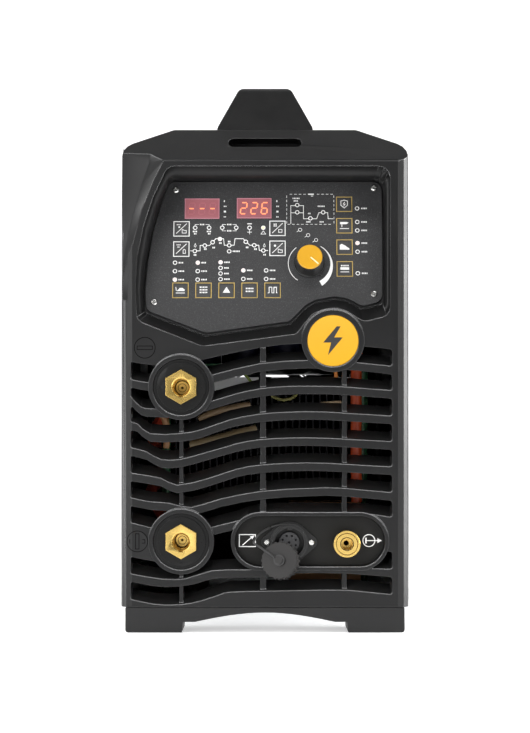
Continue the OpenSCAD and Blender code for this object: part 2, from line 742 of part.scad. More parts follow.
module remote_socket() color([0.1, 0.1, 0.1]) {
    flange_d = plate_d - flange_t;
    difference() {
        union() {
            translate([0, 0, remote_z]) from_front(flange_d, plate_d) translate([remote_x, 0])
                hull() {
                    circle(18, $fn = 64);
                    for (s = [-1, 1]) translate([s * 19.2, 0]) circle(5);
                }
            bar(remote_x, remote_z, 15, rim_d, flange_d + eps);
            bar(remote_x, remote_z, 13.5, plate_d - eps, plate_d + 14);
        }
        bar(remote_x, remote_z, 12.6, rim_d - 1, plate_d + 2);
        bar(remote_x, remote_z, 9.2, plate_d, plate_d + 20);
        // Groove that holds the tether's collar.
        difference() {
            bar(remote_x, remote_z, 16, 1.4, 4);
            bar(remote_x, remote_z, 14, 1, 5);
        }
        for (s = [-1, 1]) bar(remote_x + s * 19.2, remote_z, 1.6, 0, 20);
    }
    // Key inside the rim, at the top.
    translate([remote_x - 1.6, front_y + rim_d + 1, remote_z + 11]) cube([3.2, 8, 2.2]);
}

pin_count = 8;

module remote_socket_insert() color([0.2, 0.2, 0.2]) {
    difference() {
        union() {
            bar(remote_x, remote_z, 8.9, 1.5, plate_d + 10);
            bar(remote_x, remote_z, 9.1, plate_d + 3, plate_d + 14);
        }
        for (k = [0:pin_count - 1])
            bar(remote_x + 6.1 * cos(k * 45 + 22.5), remote_z + 6.1 * sin(k * 45 + 22.5), 0.9, 0, 8);
        bar(remote_x, remote_z, 0.9, 0, 8);
    }
}

module remote_socket_screws() color("silver")
    for (s = [-1, 1]) translate([remote_x + s * 19.2, front_y + plate_d - flange_t, remote_z])
        rotate([90, 0, 0]) pan_screw(1.5, 2.8, 1.7, 7);

// The dust cap's own frame: z = 0 at the back of its rim, z rising towards the front.
cap_x = 14.2;
cap_z = 62.3;
cap_d = -8.6;
cap_nod = 8;
cap_yaw = 12;
stud_head_r = 3.4;
cap_cos = cos(cap_nod) * cos(cap_yaw);
cap_h = (fitting_proud + cap_d - stud_head_r * sqrt(1 - cap_cos * cap_cos)) / cap_cos;

module in_cap()
    translate([cap_x, front_y + cap_d, cap_z]) rotate([90 - cap_nod, 0, -cap_yaw]) children();

// The place in the case of a point [a, b, c] of the cap's frame, as [x, depth, z].
function cap_point(p) =
    let (y = p.y * sin(cap_nod) - p.z * cos(cap_nod), z = p.y * cos(cap_nod) + p.z * sin(cap_nod))
    [cap_x + p.x * cos(cap_yaw) + y * sin(cap_yaw), cap_d - p.x * sin(cap_yaw) + y * cos(cap_yaw),
     cap_z + z];

// Strap that ties the dust cap to the socket: a collar in the groove and a band to the cap's stud.
tether_route = concat([
    [19.5, 2.7, 93.6], [13.5, 2.2, 93.3], [6, 1.5, 91.4], [0, -0.5, 88.6], [-4.8, -4, 85.4],
    [-8.2, -8.5, 81.6], [-9.6, -13, 78.2]
], [for (p = [[-17, 11, 11], [-11.5, 7.5, 10.7], [-3.3, 2.1, 10.55]]) cap_point(p)]);

module cap_tether() color([0.12, 0.12, 0.12]) {
    difference() {
        bar(remote_x, remote_z, 16.4, 1.7, 3.7);
        bar(remote_x, remote_z, 14.06, 1, 5);
    }
    tube_along([for (p = spline(tether_route)) [p.x, front_y + p.y, p.z]], 1);
    in_cap() difference() {
        translate([0, 0, 9.8]) cylinder(r = 4.8, h = 1.5);
        translate([0, 0, 9]) cylinder(r = 2.06, h = 3);
    }
}

module dust_cap() color([0.3, 0.29, 0.29]) in_cap() {
    difference() {
        union() {
            cylinder(r = 15.6, h = 8);
            cylinder(r = 14.8, h = 8.8);
            cylinder(r = 2, h = 12);
            translate([0, 0, 11.8]) cylinder(r = stud_head_r, h = cap_h - 11.8);
            // Grip ribs round the rim.
            for (k = [0:23]) rotate([0, 0, k * 15]) translate([15.4, -0.8, 0]) cube([1, 1.6, 7.2]);
        }
        translate([0, 0, -1]) cylinder(r = 13.4, h = 7.6);
    }
}

module gas_outlet() color("goldenrod") {
    difference() {
        union() {
            bar(gas_x, gas_z, 11.5, -8, 2);
            bar(gas_x, gas_z, 9, 2 - eps, 30);
            bar(gas_x, gas_z, 4.6, 30 - eps, 44);
            translate([gas_x, front_y + 15, gas_z]) rotate([90, 0, 0])
                cylinder(r = 12, h = 5.9, $fn = 6);
        }
        bar(gas_x, gas_z, 5, -9, 12);
        bar(gas_x, gas_z, 2.2, 11, 50);
        // Turned groove in the face.
        difference() {
            bar(gas_x, gas_z, 9.6, -9, -7.4);
            bar(gas_x, gas_z, 9, -10, -7);
        }
    }
}

// ---------- inside ----------

module inverter_board() color("darkgreen") {
    translate([-100, front_y + 130, 236]) cube([200, 250, 2]);
    for (s = [-1, 1], d = [140, 366]) translate([s * 92, front_y + d, tray_z + 2])
        cylinder(r = 4, h = 236 - tray_z - 2);
}

// A finned extrusion with its base uppermost, under the board.
module heatsink(x0) color("lightgray")
    translate([x0, front_y + 372, 0]) rotate([90, 0, 0]) linear_extrude(224) union() {
        translate([0, 214]) square([78, 12]);
        for (k = [0:9]) translate([k * 8.4, 120]) square([2, 95]);
    }

module heatsink_left() heatsink(-84);
module heatsink_right() heatsink(6);

module main_transformer() color("saddlebrown") {
    translate([22, front_y + 70, tray_z + 2]) cube([64, 24, 84]);
    translate([22, front_y + 94, tray_z + 2]) cube([64, 30, 16]);
    translate([22, front_y + 94, tray_z + 70]) cube([64, 30, 16]);
    translate([26, front_y + 94, tray_z + 18]) cube([56, 34, 52]);
    translate([22, front_y + 128, tray_z + 2]) cube([64, 14, 84]);
}

module output_choke() color("peru")
    translate([-62, front_y + 104, tray_z + 38]) rotate([90, 0, 90]) {
        rotate_extrude() translate([24, 0]) circle(11, $fn = 24);
        translate([-36, -36, -13]) cube([72, 3, 26]);
    }

module capacitor_bank() color([0.15, 0.15, 0.3])
    for (u = [-60, -20, 20, 60], d = [190, 240])
        translate([u, front_y + d, 238]) cylinder(r = 17.5, h = 50);

valve_x = 86;
valve_d = 430;

module gas_valve() color("darkkhaki") {
    difference() {
        union() {
            translate([valve_x - 12, front_y + valve_d - 14, tray_z + 30]) cube([24, 28, 18]);
            translate([valve_x, front_y + valve_d, tray_z + 48 - eps]) cylinder(r = 13, h = 34);
            translate([valve_x - 14, front_y + valve_d - 16, tray_z + 2]) cube([28, 2, 46]);
        }
        translate([valve_x, front_y + valve_d, tray_z + 36]) cylinder(r = 5.06, h = 40);
    }
}

module gas_valve_plunger() color("silver")
    translate([valve_x, front_y + valve_d, tray_z + 37]) cylinder(r = 5, h = 30);

// Hoses from the rear inlet to the valve, and from the valve to the front outlet.
outlet_hose = [
    [gas_x, 45, gas_z], [gas_x, 52, gas_z], [78, 60, 90], [96, 66, 108], [104, 80, 120],
    [106, 120, 122], [106, 250, 122], [106, 370, 110], [98, 390, 82], [86, 403, 64], [86, 413.6, 64]
];
inlet_hose = [
    [inlet_x, 490, inlet_z], [inlet_x, 480, inlet_z], [-84, 462, 66], [-60, 452, 58],
    [0, 448, 56], [40, 444, 58], [64, 432, 64], [73.6, 432, 64]
];

module gas_hoses() color([0.1, 0.1, 0.1]) {
    for (r = [outlet_hose, inlet_hose])
        tube_along([for (p = spline(r, 2)) [p.x, front_y + p.y, p.z]], 4);
}

// Heavy leads from the choke and the heatsink to the tails of the weld sockets.
positive_lead = [
    [weld_x, 62.4, positive_z], [weld_x, 66, positive_z], [weld_x, 70, positive_z],
    [-90, 92, 94], [-104, 120, 112],
    [-106, 150, 122], [-98, 190, 128], [-90, 210, 130]
];
negative_lead = [
    [weld_x, 62.4, negative_z], [weld_x, 66, negative_z], [weld_x, 70, negative_z],
    [-86, 94, 198], [-101, 120, 178],
    [-105, 150, 168], [-98, 190, 165], [-90, 210, 165]
];

module power_leads() color("firebrick") {
    for (r = [positive_lead, negative_lead])
        tube_along([for (p = spline(r, 2)) [p.x, front_y + p.y, p.z]], 5.4);
}

// ---------- rear fittings ----------

fan_depth = 38;
fan_front = body_len - wall - fan_depth;

module fan_frame() color([0.1, 0.1, 0.1]) {
    difference() {
        union() {
            translate([-75, front_y + fan_front, fan_z - 75]) cube([150, 4, 150]);
            bar(0, fan_z, fan_r + 4.5, fan_front, fan_front + fan_depth);
            translate([-75, front_y + fan_front + fan_depth - 4, fan_z - 75]) cube([150, 4, 150]);
        }
        bar(0, fan_z, fan_r + 1.8, fan_front - 1, fan_front + fan_depth + 1);
        for (sx = [-1, 1], sz = [-1, 1])
            bar(sx * 62.5, fan_z + sz * 62.5, 2.2, fan_front - 1, body_len);
    }
    // Motor housing on four struts.
    difference() {
        union() {
            bar(0, fan_z, 22, fan_front, fan_front + 12);
            for (a = [45:90:315]) translate([0, front_y + fan_front + 4, fan_z])
                rotate([90, a, 0]) translate([20, -2.5, 0]) cube([fan_r - 18, 5, 4]);
        }
        bar(0, fan_z, 3.06, fan_front + 2, fan_front + 20);
    }
}

module fan_rotor() color([0.12, 0.12, 0.12]) {
    bar(0, fan_z, 3, fan_front + 3, fan_front + 16);
    bar(0, fan_z, 24, fan_front + 13, fan_front + 33);
    for (k = [0:6]) translate([0, front_y + fan_front + 23, fan_z]) rotate([0, k * 360 / 7, 0])
        translate([22, 0, 0]) rotate([35, 0, 0]) translate([0, -1, -11])
            cube([fan_r - 25, 2, 22]);
}

guard_step = 9;

module fan_guard() color("silver") {
    difference() {
        union() {
            for (k = [1:7]) translate([0, rear_y + 2, fan_z]) rotate([90, 0, 0])
                rotate_extrude() translate([k * guard_step + 3, 0]) circle(1.1, $fn = 16);
            bar(0, fan_z, 10, body_len + 1, body_len + 3);
            for (a = [0:90:270]) translate([0, rear_y + 1.6, fan_z]) rotate([0, a + 45, 0])
                translate([0, 0, 0]) rotate([0, 90, 0]) cylinder(r = 1.3, h = 84, $fn = 16);
            for (sx = [-1, 1], sz = [-1, 1])
                bar(sx * 62.5, fan_z + sz * 62.5, 6, body_len + 0.05, body_len + 2.6);
        }
        translate([-100, rear_y - 4.98, fan_z - 100]) cube([200, 5, 200]);
    }
    for (sx = [-1, 1], sz = [-1, 1]) {
        bar(sx * 62.5, fan_z + sz * 62.5, 2, body_len - wall - 5, body_len + 2);
        bar(sx * 62.5, fan_z + sz * 62.5, 4, body_len + 2.6 - eps, body_len + 5);
    }
}

module mains_switch_body() color([0.15, 0.15, 0.15]) {
    difference() {
        union() {
            translate([switch_x - 32, rear_y + 0.05, switch_z - 32]) cube([64, 3.5, 64]);
            bar(switch_x, switch_z, 11.7, body_len - 12, body_len + 1);
            translate([switch_x - 25, rear_y - 60, switch_z - 25]) cube([50, 52, 50]);
            for (sx = [-1, 1], sz = [-1, 1])
                bar(switch_x + sx * 24, switch_z + sz * 24, 1.9, body_len - 9, body_len + 1);
        }
        bar(switch_x, switch_z, 4.06, body_len - 30, body_len + 10);
        // Shallow seat for the handle.
        bar(switch_x, switch_z, 25.4, body_len + 2.2, body_len + 6);
    }
}

module mains_switch_handle() color("red") {
    bar(switch_x, switch_z, 25, body_len + 2.5, body_len + 7);
    bar(switch_x, switch_z, 4, body_len - 28, body_len + 3);
    translate([switch_x, rear_y + 7 - eps, switch_z]) rotate([-90, 0, 0])
        linear_extrude(14 + eps) polygon(rounded([[-6, -23, 3], [6, -23, 3], [6, 23, 3], [-6, 23, 3]]));
}

module cable_gland() color([0.1, 0.1, 0.1]) {
    difference() {
        union() {
            bar(gland_x, gland_z, 10.8, body_len - 18, body_len + 2);
            translate([gland_x, rear_y + 6, gland_z]) rotate([90, 0, 0])
                cylinder(r = 15, h = 5.95, $fn = 6);
            translate([gland_x, rear_y - wall - 0.05, gland_z]) rotate([90, 0, 0])
                cylinder(r = 15, h = 6, $fn = 6);
            bar(gland_x, gland_z, 12.6, body_len + 6 - eps, body_len + 14);
            translate([gland_x, rear_y + 14 - eps, gland_z]) rotate([-90, 0, 0])
                cylinder(r1 = 12.6, r2 = 9, h = fitting_proud - 14 + eps);
        }
        bar(gland_x, gland_z, gland_bore_r, body_len - 30, body_len + 40);
    }
}

module gas_inlet() color("goldenrod") {
    difference() {
        union() {
            bar(inlet_x, inlet_z, 6.4, body_len - 16, body_len + 2);
            translate([inlet_x, rear_y + 6, inlet_z]) rotate([90, 0, 0])
                cylinder(r = 11, h = 5.95, $fn = 6);
            translate([inlet_x, rear_y - wall - 0.05, inlet_z]) rotate([90, 0, 0])
                cylinder(r = 10, h = 4, $fn = 6);
            bar(inlet_x, inlet_z, 4.2, body_len - 29, body_len - 16 + eps);
            bar(inlet_x, inlet_z, 4.5, body_len + 6 - eps, body_len + 20);
            translate([inlet_x, rear_y + 20 - eps, inlet_z]) rotate([-90, 0, 0])
                cylinder(r1 = 4.5, r2 = 3.7, h = 1);
        }
        bar(inlet_x, inlet_z, 2.5, body_len - 40, body_len + 40);
    }
}

// ---------- the nodes ----------

module key_program() key(0);
module key_waveform() key(1);
module key_trigger_mode() key(2);
module key_ignition() key(3);
module key_pulse() key(4);
module key_voltage_guard() key(5);
module key_electrode() key(6);
module key_pedal() key(7);
module key_cooler() key(8);
module key_store() key(9);
module key_gas_test() key(10);
module key_parameter() key(11);
module key_memory() key(12);

front_bezel();
rear_bezel();
case_cover();
base_plate();
front_foot();
rear_foot();
handle();
case_screws();
control_panel();
panel_screws();
display_windows();
control_board();
indicator_leds();
encoder_body();
badge();
negative_socket_body();
negative_socket_contact();
positive_socket_body();
positive_socket_contact();
connector_plate();
remote_socket();
remote_socket_insert();
remote_socket_screws();
gas_outlet();
inverter_board();
heatsink_left();
heatsink_right();
main_transformer();
output_choke();
capacitor_bank();
gas_valve();
gas_hoses();
power_leads();
fan_frame();
fan_guard();
mains_switch_body();
cable_gland();
gas_inlet();
gas_valve_plunger();
fan_rotor();
mains_switch_handle();
cap_tether();
dust_cap();
encoder_plunger();
encoder_shaft();
knob();
knob_cap();
key_program();
key_waveform();
key_trigger_mode();
key_ignition();
key_pulse();
key_voltage_guard();
key_electrode();
key_pedal();
key_cooler();
key_store();
key_gas_test();
key_parameter();
key_memory();
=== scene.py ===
import json
import math

import bmesh
import bpy
from mathutils import Matrix, Vector
from mathutils.bvhtree import BVHTree


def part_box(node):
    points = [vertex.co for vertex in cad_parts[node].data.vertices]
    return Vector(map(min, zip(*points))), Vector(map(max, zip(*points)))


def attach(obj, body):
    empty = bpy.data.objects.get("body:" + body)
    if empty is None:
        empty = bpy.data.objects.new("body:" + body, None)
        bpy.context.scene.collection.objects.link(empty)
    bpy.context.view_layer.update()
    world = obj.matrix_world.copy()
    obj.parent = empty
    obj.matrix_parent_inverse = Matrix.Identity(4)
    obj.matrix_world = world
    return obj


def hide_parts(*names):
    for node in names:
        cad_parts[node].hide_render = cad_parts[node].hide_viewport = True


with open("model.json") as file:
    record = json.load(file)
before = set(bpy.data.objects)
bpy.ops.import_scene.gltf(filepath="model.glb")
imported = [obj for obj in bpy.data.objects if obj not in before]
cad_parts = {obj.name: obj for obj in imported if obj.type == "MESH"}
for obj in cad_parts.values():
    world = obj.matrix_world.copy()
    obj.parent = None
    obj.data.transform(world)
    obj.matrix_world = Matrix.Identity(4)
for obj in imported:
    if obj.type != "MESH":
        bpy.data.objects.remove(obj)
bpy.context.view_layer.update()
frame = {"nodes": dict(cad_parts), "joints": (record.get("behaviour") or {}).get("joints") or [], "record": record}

scene = bpy.context.scene

# ---------------------------------------------------------------------------------------------
# Camera, floor and studio light.
# The machine stands on a white sweep under two wide soft boxes, a top light that catches the
# upper edges of the slats, and two tall side lights. The slats' edge highlight is also painted
# into the bezel's finish. The camera looks straight at the front.
# ---------------------------------------------------------------------------------------------
face_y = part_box("front_foot")[0][1]

camera_data = bpy.data.cameras.new("camera")
camera_data.lens = 102.2
camera_data.sensor_width = 36.0
camera_data.shift_y = 0.1085
camera = bpy.data.objects.new("camera", camera_data)
camera.location = (0.0, face_y - 1.8, 0.1615)
camera.rotation_euler = (math.pi / 2, 0.0, 0.0)
scene.collection.objects.link(camera)
scene.camera = camera
scene.view_settings.view_transform = "Standard"

sweep_mesh = bpy.data.meshes.new("studio_sweep")
bm = bmesh.new()
sweep_profile = [(-4.0, 0.0), (1.6, 0.0)]
for step in range(1, 13):
    angle = math.radians(90 * step / 12)
    sweep_profile.append((1.6 + 1.2 * math.sin(angle), 1.2 - 1.2 * math.cos(angle)))
sweep_profile.append((2.8, 5.0))
columns = [[bm.verts.new((x, y, z)) for y, z in sweep_profile] for x in (-6.0, 6.0)]
for k in range(len(sweep_profile) - 1):
    bm.faces.new((columns[0][k], columns[1][k], columns[1][k + 1], columns[0][k + 1]))
bm.to_mesh(sweep_mesh)
bm.free()
sweep_mesh.shade_smooth()
sweep = bpy.data.objects.new("studio_sweep", sweep_mesh)
scene.collection.objects.link(sweep)
sweep_paint = bpy.data.materials.new("sweep_paint")
sweep_paint.use_nodes = True
sweep_shader = sweep_paint.node_tree.nodes["Principled BSDF"]
sweep_shader.inputs["Base Color"].default_value = (0.93, 0.93, 0.93, 1)
sweep_shader.inputs["Roughness"].default_value = 0.9
sweep_shader.inputs["Specular IOR Level"].default_value = 0.1
sweep_shader.inputs["Emission Color"].default_value = (1, 1, 1, 1)
sweep_shader.inputs["Emission Strength"].default_value = 0.5
sweep_mesh.materials.append(sweep_paint)

world = bpy.data.worlds.new("studio_air")
scene.world = world
world.use_nodes = True
air = world.node_tree
air.nodes["Background"].inputs["Color"].default_value = (1, 1, 1, 1)
air.nodes["Background"].inputs["Strength"].default_value = 0.17
seen_air = air.nodes.new("ShaderNodeBackground")
seen_air.inputs["Color"].default_value = (1, 1, 1, 1)
seen_or_lit = air.nodes.new("ShaderNodeMixShader")
air.links.new(air.nodes.new("ShaderNodeLightPath").outputs["Is Camera Ray"],
              seen_or_lit.inputs[0])
air.links.new(air.nodes["Background"].outputs[0], seen_or_lit.inputs[1])
air.links.new(seen_air.outputs[0], seen_or_lit.inputs[2])
air.links.new(seen_or_lit.outputs[0], air.nodes["World Output"].inputs["Surface"])


def soft_box(name, place, aim, width, height, power):
    lamp_data = bpy.data.lights.new(name, "AREA")
    lamp_data.shape = "RECTANGLE"
    lamp_data.size = width
    lamp_data.size_y = height
    lamp_data.energy = power
    lamp = bpy.data.objects.new(name, lamp_data)
    lamp.location = place
    lamp.rotation_euler = (Vector(aim) - Vector(place)).to_track_quat("-Z", "Y").to_euler()
    scene.collection.objects.link(lamp)


soft_box("key_box", (-1.0, -1.9, 0.7), (0, -0.2, 0.22), 0.9, 1.2, 20)
soft_box("fill_box", (1.2, -1.7, 0.5), (0, -0.2, 0.2), 0.6, 1.0, 8)
soft_box("top_box", (0.0, -1.25, 1.6), (0, -0.2, 0.3), 1.6, 0.4, 11)
soft_box("left_strip", (-1.2, -0.14, 0.42), (0, -0.2, 0.25), 0.3, 1.3, 24)
soft_box("right_strip", (1.2, -0.14, 0.42), (0, -0.2, 0.25), 0.3, 1.3, 40)

# ---------------------------------------------------------------------------------------------
# Base tray: zinc-plated sheet steel, folded up along both sides.
# The case cover is screwed to its flanges and everything heavy stands on it.
# Its finish brings in the effects that every other surface shares: grain, edge wear with a
# painted highlight on upward edges, and dust.
# ---------------------------------------------------------------------------------------------


def new_group(name, sockets_in, sockets_out):
    group = bpy.data.node_groups.new(name, "ShaderNodeTree")
    for label, kind, value in sockets_in:
        socket = group.interface.new_socket(name=label, in_out="INPUT", socket_type=kind)
        socket.default_value = value
    for label, kind in sockets_out:
        group.interface.new_socket(name=label, in_out="OUTPUT", socket_type=kind)
    start = group.nodes.new("NodeGroupInput")
    end = group.nodes.new("NodeGroupOutput")
    return group, start, end


def join(tree, source, target):
    tree.links.new(source, target)


def maths(tree, operation, first, second=None):
    node = tree.nodes.new("ShaderNodeMath")
    node.operation = operation
    for socket, value in zip(node.inputs, (first, second)):
        if value is None:
            continue
        if isinstance(value, (int, float)):
            socket.default_value = value
        else:
            tree.links.new(value, socket)
    return node.outputs[0]


def noise(tree, where, scale, detail=3.0, rough=0.55):
    node = tree.nodes.new("ShaderNodeTexNoise")
    node.inputs["Detail"].default_value = detail
    node.inputs["Roughness"].default_value = rough
    tree.links.new(where, node.inputs["Vector"])
    if isinstance(scale, (int, float)):
        node.inputs["Scale"].default_value = scale
    else:
        tree.links.new(scale, node.inputs["Scale"])
    return node.outputs["Fac"]


def ramp(tree, value, low, high):
    node = tree.nodes.new("ShaderNodeMapRange")
    node.inputs["From Min"].default_value = low
    node.inputs["From Max"].default_value = high
    tree.links.new(value, node.inputs["Value"])
    return node.outputs["Result"]


# Fine surface grain: a normal for the shader and a slow mottle for colour and roughness.
surface_grain, grain_in, grain_out = new_group(
    "surface_grain",
    [("Scale", "NodeSocketFloat", 900.0), ("Depth", "NodeSocketFloat", 0.1),
     ("Stretch", "NodeSocketVector", (1.0, 1.0, 1.0))],
    [("Normal", "NodeSocketVector"), ("Mottle", "NodeSocketFloat"), ("Fleck", "NodeSocketFloat")])
spot = surface_grain.nodes.new("ShaderNodeTexCoord").outputs["Object"]
stretch = surface_grain.nodes.new("ShaderNodeVectorMath")
stretch.operation = "MULTIPLY"
join(surface_grain, spot, stretch.inputs[0])
join(surface_grain, grain_in.outputs["Stretch"], stretch.inputs[1])
fine = noise(surface_grain, stretch.outputs[0], grain_in.outputs["Scale"], 2.0, 0.6)
bump = surface_grain.nodes.new("ShaderNodeBump")
bump.inputs["Distance"].default_value = 0.0004
join(surface_grain, grain_in.outputs["Depth"], bump.inputs["Strength"])
join(surface_grain, fine, bump.inputs["Height"])
join(surface_grain, bump.outputs["Normal"], grain_out.inputs["Normal"])
join(surface_grain, noise(surface_grain, spot, 14.0, 4.0), grain_out.inputs["Mottle"])
join(surface_grain, ramp(surface_grain, fine, 0.55, 0.75), grain_out.inputs["Fleck"])

# Wear on edges, broken up so that it never runs as one even line, and a painted highlight along
# the edges that face upwards, a pale line that stands in for light from above.
edge_wear_and_highlight, wear_and_highlight_in, wear_and_highlight_out = new_group(
    "edge_wear_and_highlight", [("Amount", "NodeSocketFloat", 0.5), ("Painted Highlight", "NodeSocketFloat", 0.0)],
    [("Mask", "NodeSocketFloat")])
wear_spot = edge_wear_and_highlight.nodes.new("ShaderNodeTexCoord").outputs["Object"]
broken = ramp(edge_wear_and_highlight, noise(edge_wear_and_highlight, wear_spot, 160.0, 5.0), 0.35, 0.7)
rounded = edge_wear_and_highlight.nodes.new("ShaderNodeBevel")
rounded.samples = 4
wear_and_highlight_reach = 0.0011
rounded.inputs["Radius"].default_value = wear_and_highlight_reach
lift = []
for normal in (rounded.outputs["Normal"],
               edge_wear_and_highlight.nodes.new("ShaderNodeNewGeometry").outputs["Normal"]):
    parts = edge_wear_and_highlight.nodes.new("ShaderNodeSeparateXYZ")
    join(edge_wear_and_highlight, normal, parts.inputs[0])
    lift.append(parts.outputs[2])
bend = edge_wear_and_highlight.nodes.new("ShaderNodeVectorMath")
bend.operation = "DISTANCE"
join(edge_wear_and_highlight, rounded.outputs["Normal"], bend.inputs[0])
join(edge_wear_and_highlight, edge_wear_and_highlight.nodes.new("ShaderNodeNewGeometry").outputs["Normal"], bend.inputs[1])
worn = maths(edge_wear_and_highlight, "MULTIPLY", ramp(edge_wear_and_highlight, bend.outputs["Value"], 0.15, 0.7), broken)
# Painted highlight: pale where the rounded normal rises above the face's own, but not on faces that look down.
painted_highlight = ramp(edge_wear_and_highlight, maths(edge_wear_and_highlight, "SUBTRACT", lift[0], lift[1]), 0.06, 0.3)
painted_highlight = maths(edge_wear_and_highlight, "MULTIPLY", painted_highlight, ramp(edge_wear_and_highlight, lift[1], -0.3, -0.15))
join(edge_wear_and_highlight, maths(edge_wear_and_highlight, "MAXIMUM",
                      maths(edge_wear_and_highlight, "MULTIPLY", worn, wear_and_highlight_in.outputs["Amount"]),
                      maths(edge_wear_and_highlight, "MULTIPLY", painted_highlight, wear_and_highlight_in.outputs["Painted Highlight"])),
     wear_and_highlight_out.inputs["Mask"])

# Dust that settles on faces looking upwards.
settled_dust, dust_in, dust_out = new_group(
    "settled_dust", [("Amount", "NodeSocketFloat", 0.2)], [("Mask", "NodeSocketFloat")])
facing = settled_dust.nodes.new("ShaderNodeSeparateXYZ")
join(settled_dust, settled_dust.nodes.new("ShaderNodeNewGeometry").outputs["Normal"],
     facing.inputs[0])
dust_spot = settled_dust.nodes.new("ShaderNodeTexCoord").outputs["Object"]
patchy = ramp(settled_dust, noise(settled_dust, dust_spot, 45.0, 6.0, 0.7), 0.3, 0.8)
settled = maths(settled_dust, "MULTIPLY", ramp(settled_dust, facing.outputs[2], 0.5, 1.0), patchy)
join(settled_dust, maths(settled_dust, "MULTIPLY", settled, dust_in.outputs["Amount"]),
     dust_out.inputs["Mask"])


def finish(name, colour, rough, metal=0.0, grain=900.0, depth=0.1, stretch=(1, 1, 1), tone=0.12,
           wear=0.3, wear_and_highlight_colour=None, dust=0.1, fleck=0.0, fleck_colour=(1, 1, 1), coat=0.0,
           glow=None, specular=0.5, painted_light_fade=None, painted_highlight=0.0):
    """A paint, plastic or metal with its own grain, mottle, edge wear, flecks and dust.

    The fade argument paints light on a surface by blending to a second colour between two heights, glow is a lit
    colour and strength, and the last argument is the strength of a painted highlight along edges that face
    upwards.
    """
    made = bpy.data.materials.new(name)
    made.use_nodes = True
    tree = made.node_tree
    shader = tree.nodes["Principled BSDF"]
    shader.inputs["Metallic"].default_value = metal
    shader.inputs["Specular IOR Level"].default_value = specular
    if coat:
        shader.inputs["Coat Weight"].default_value = coat
        shader.inputs["Coat Roughness"].default_value = 0.08
    texture = tree.nodes.new("ShaderNodeGroup")
    texture.node_tree = surface_grain
    texture.inputs["Scale"].default_value = grain
    texture.inputs["Depth"].default_value = depth
    texture.inputs["Stretch"].default_value = stretch
    join(tree, texture.outputs["Normal"], shader.inputs["Normal"])

    def blended(factor, below, above):
        mix = tree.nodes.new("ShaderNodeMix")
        mix.data_type = "RGBA"
        for socket, value in ((mix.inputs[0], factor), (mix.inputs[6], below),
                              (mix.inputs[7], above)):
            if isinstance(value, tuple):
                socket.default_value = (*value, 1.0)
            else:
                tree.links.new(value, socket)
        return mix.outputs[2]

    dark = tuple(c * (1 - tone) for c in colour)
    light = tuple(min(1.0, c * (1 + tone)) for c in colour)
    shade = blended(ramp(tree, texture.outputs["Mottle"], 0.3, 0.7), dark, light)
    # Painted light: a blend to a second colour between two heights.
    if painted_light_fade:
        height = tree.nodes.new("ShaderNodeSeparateXYZ")
        join(tree, tree.nodes.new("ShaderNodeTexCoord").outputs["Object"], height.inputs[0])
        shade = blended(ramp(tree, height.outputs[2], painted_light_fade[0], painted_light_fade[1]), shade, painted_light_fade[2])
    if fleck:
        specks = maths(tree, "MULTIPLY", texture.outputs["Fleck"], fleck)
        shade = blended(specks, shade, fleck_colour)
    # Edge wear, and the painted highlight along upward edges, share one pale colour.
    if wear:
        wear_and_highlight_node = tree.nodes.new("ShaderNodeGroup")
        wear_and_highlight_node.node_tree = edge_wear_and_highlight
        wear_and_highlight_node.inputs["Amount"].default_value = wear
        wear_and_highlight_node.inputs["Painted Highlight"].default_value = painted_highlight
        bright = wear_and_highlight_colour or tuple(min(1.0, c * 2.2 + 0.03) for c in colour)
        shade = blended(wear_and_highlight_node.outputs["Mask"], shade, bright)
    if dust:
        powder = tree.nodes.new("ShaderNodeGroup")
        powder.node_tree = settled_dust
        powder.inputs["Amount"].default_value = dust
        shade = blended(powder.outputs["Mask"], shade, (0.42, 0.40, 0.37))
    join(tree, shade, shader.inputs["Base Color"])
    swing = min(0.14, tone)
    uneven = maths(tree, "MULTIPLY", ramp(tree, texture.outputs["Mottle"], 0.25, 0.75), swing)
    join(tree, maths(tree, "ADD", uneven, rough - swing / 2), shader.inputs["Roughness"])
    if glow:
        shader.inputs["Emission Color"].default_value = (*glow[0], 1.0)
        shader.inputs["Emission Strength"].default_value = glow[1]
    return made


def paint_node(node, made):
    """Gives a CAD node that stays in view its finish."""
    piece = frame["nodes"][node]
    if not piece.data.materials:
        piece.data.materials.append(made)
    for held in piece.material_slots:
        held.material = made


plated_steel = finish("plated_steel", (0.5, 0.51, 0.52), 0.36, metal=1.0, grain=260.0, depth=0.05,
                      tone=0.18, wear=0.1, dust=0.3)
paint_node("base_plate", plated_steel)

# ---------------------------------------------------------------------------------------------
# Power parts inside: board, heatsinks, transformer, choke and capacitors.
# Glass-fibre board on brass posts, extruded aluminium sinks screwed under it, a ferrite
# transformer and a ring choke on the tray. Only glimpses of them show through the louvres.
# ---------------------------------------------------------------------------------------------
board_green = finish("board_green", (0.012, 0.09, 0.035), 0.35, grain=500.0, depth=0.06,
                     tone=0.3, wear=0.0, dust=0.3, fleck=0.5, fleck_colour=(0.5, 0.42, 0.2))
paint_node("inverter_board", board_green)
paint_node("control_board", board_green)
sink_metal = finish("sink_metal", (0.028, 0.028, 0.029), 0.55, metal=1.0, grain=300.0, depth=0.12,
                    stretch=(1, 0.05, 1), tone=0.1, wear=0.1, dust=0.25)


def new_piece(name, mesh, *finishes):
    for made in finishes:
        mesh.materials.append(made)
    piece = bpy.data.objects.new(name, mesh)
    scene.collection.objects.link(piece)
    return piece


def settle_modifier(piece, place=Matrix.Identity(4)):
    """Turns what a piece's modifiers make into its plain mesh, set where it belongs."""
    result = bpy.data.meshes.new_from_object(
        piece.evaluated_get(bpy.context.evaluated_depsgraph_get()))
    piece.modifiers.clear()
    result.transform(place)
    piece.data = result


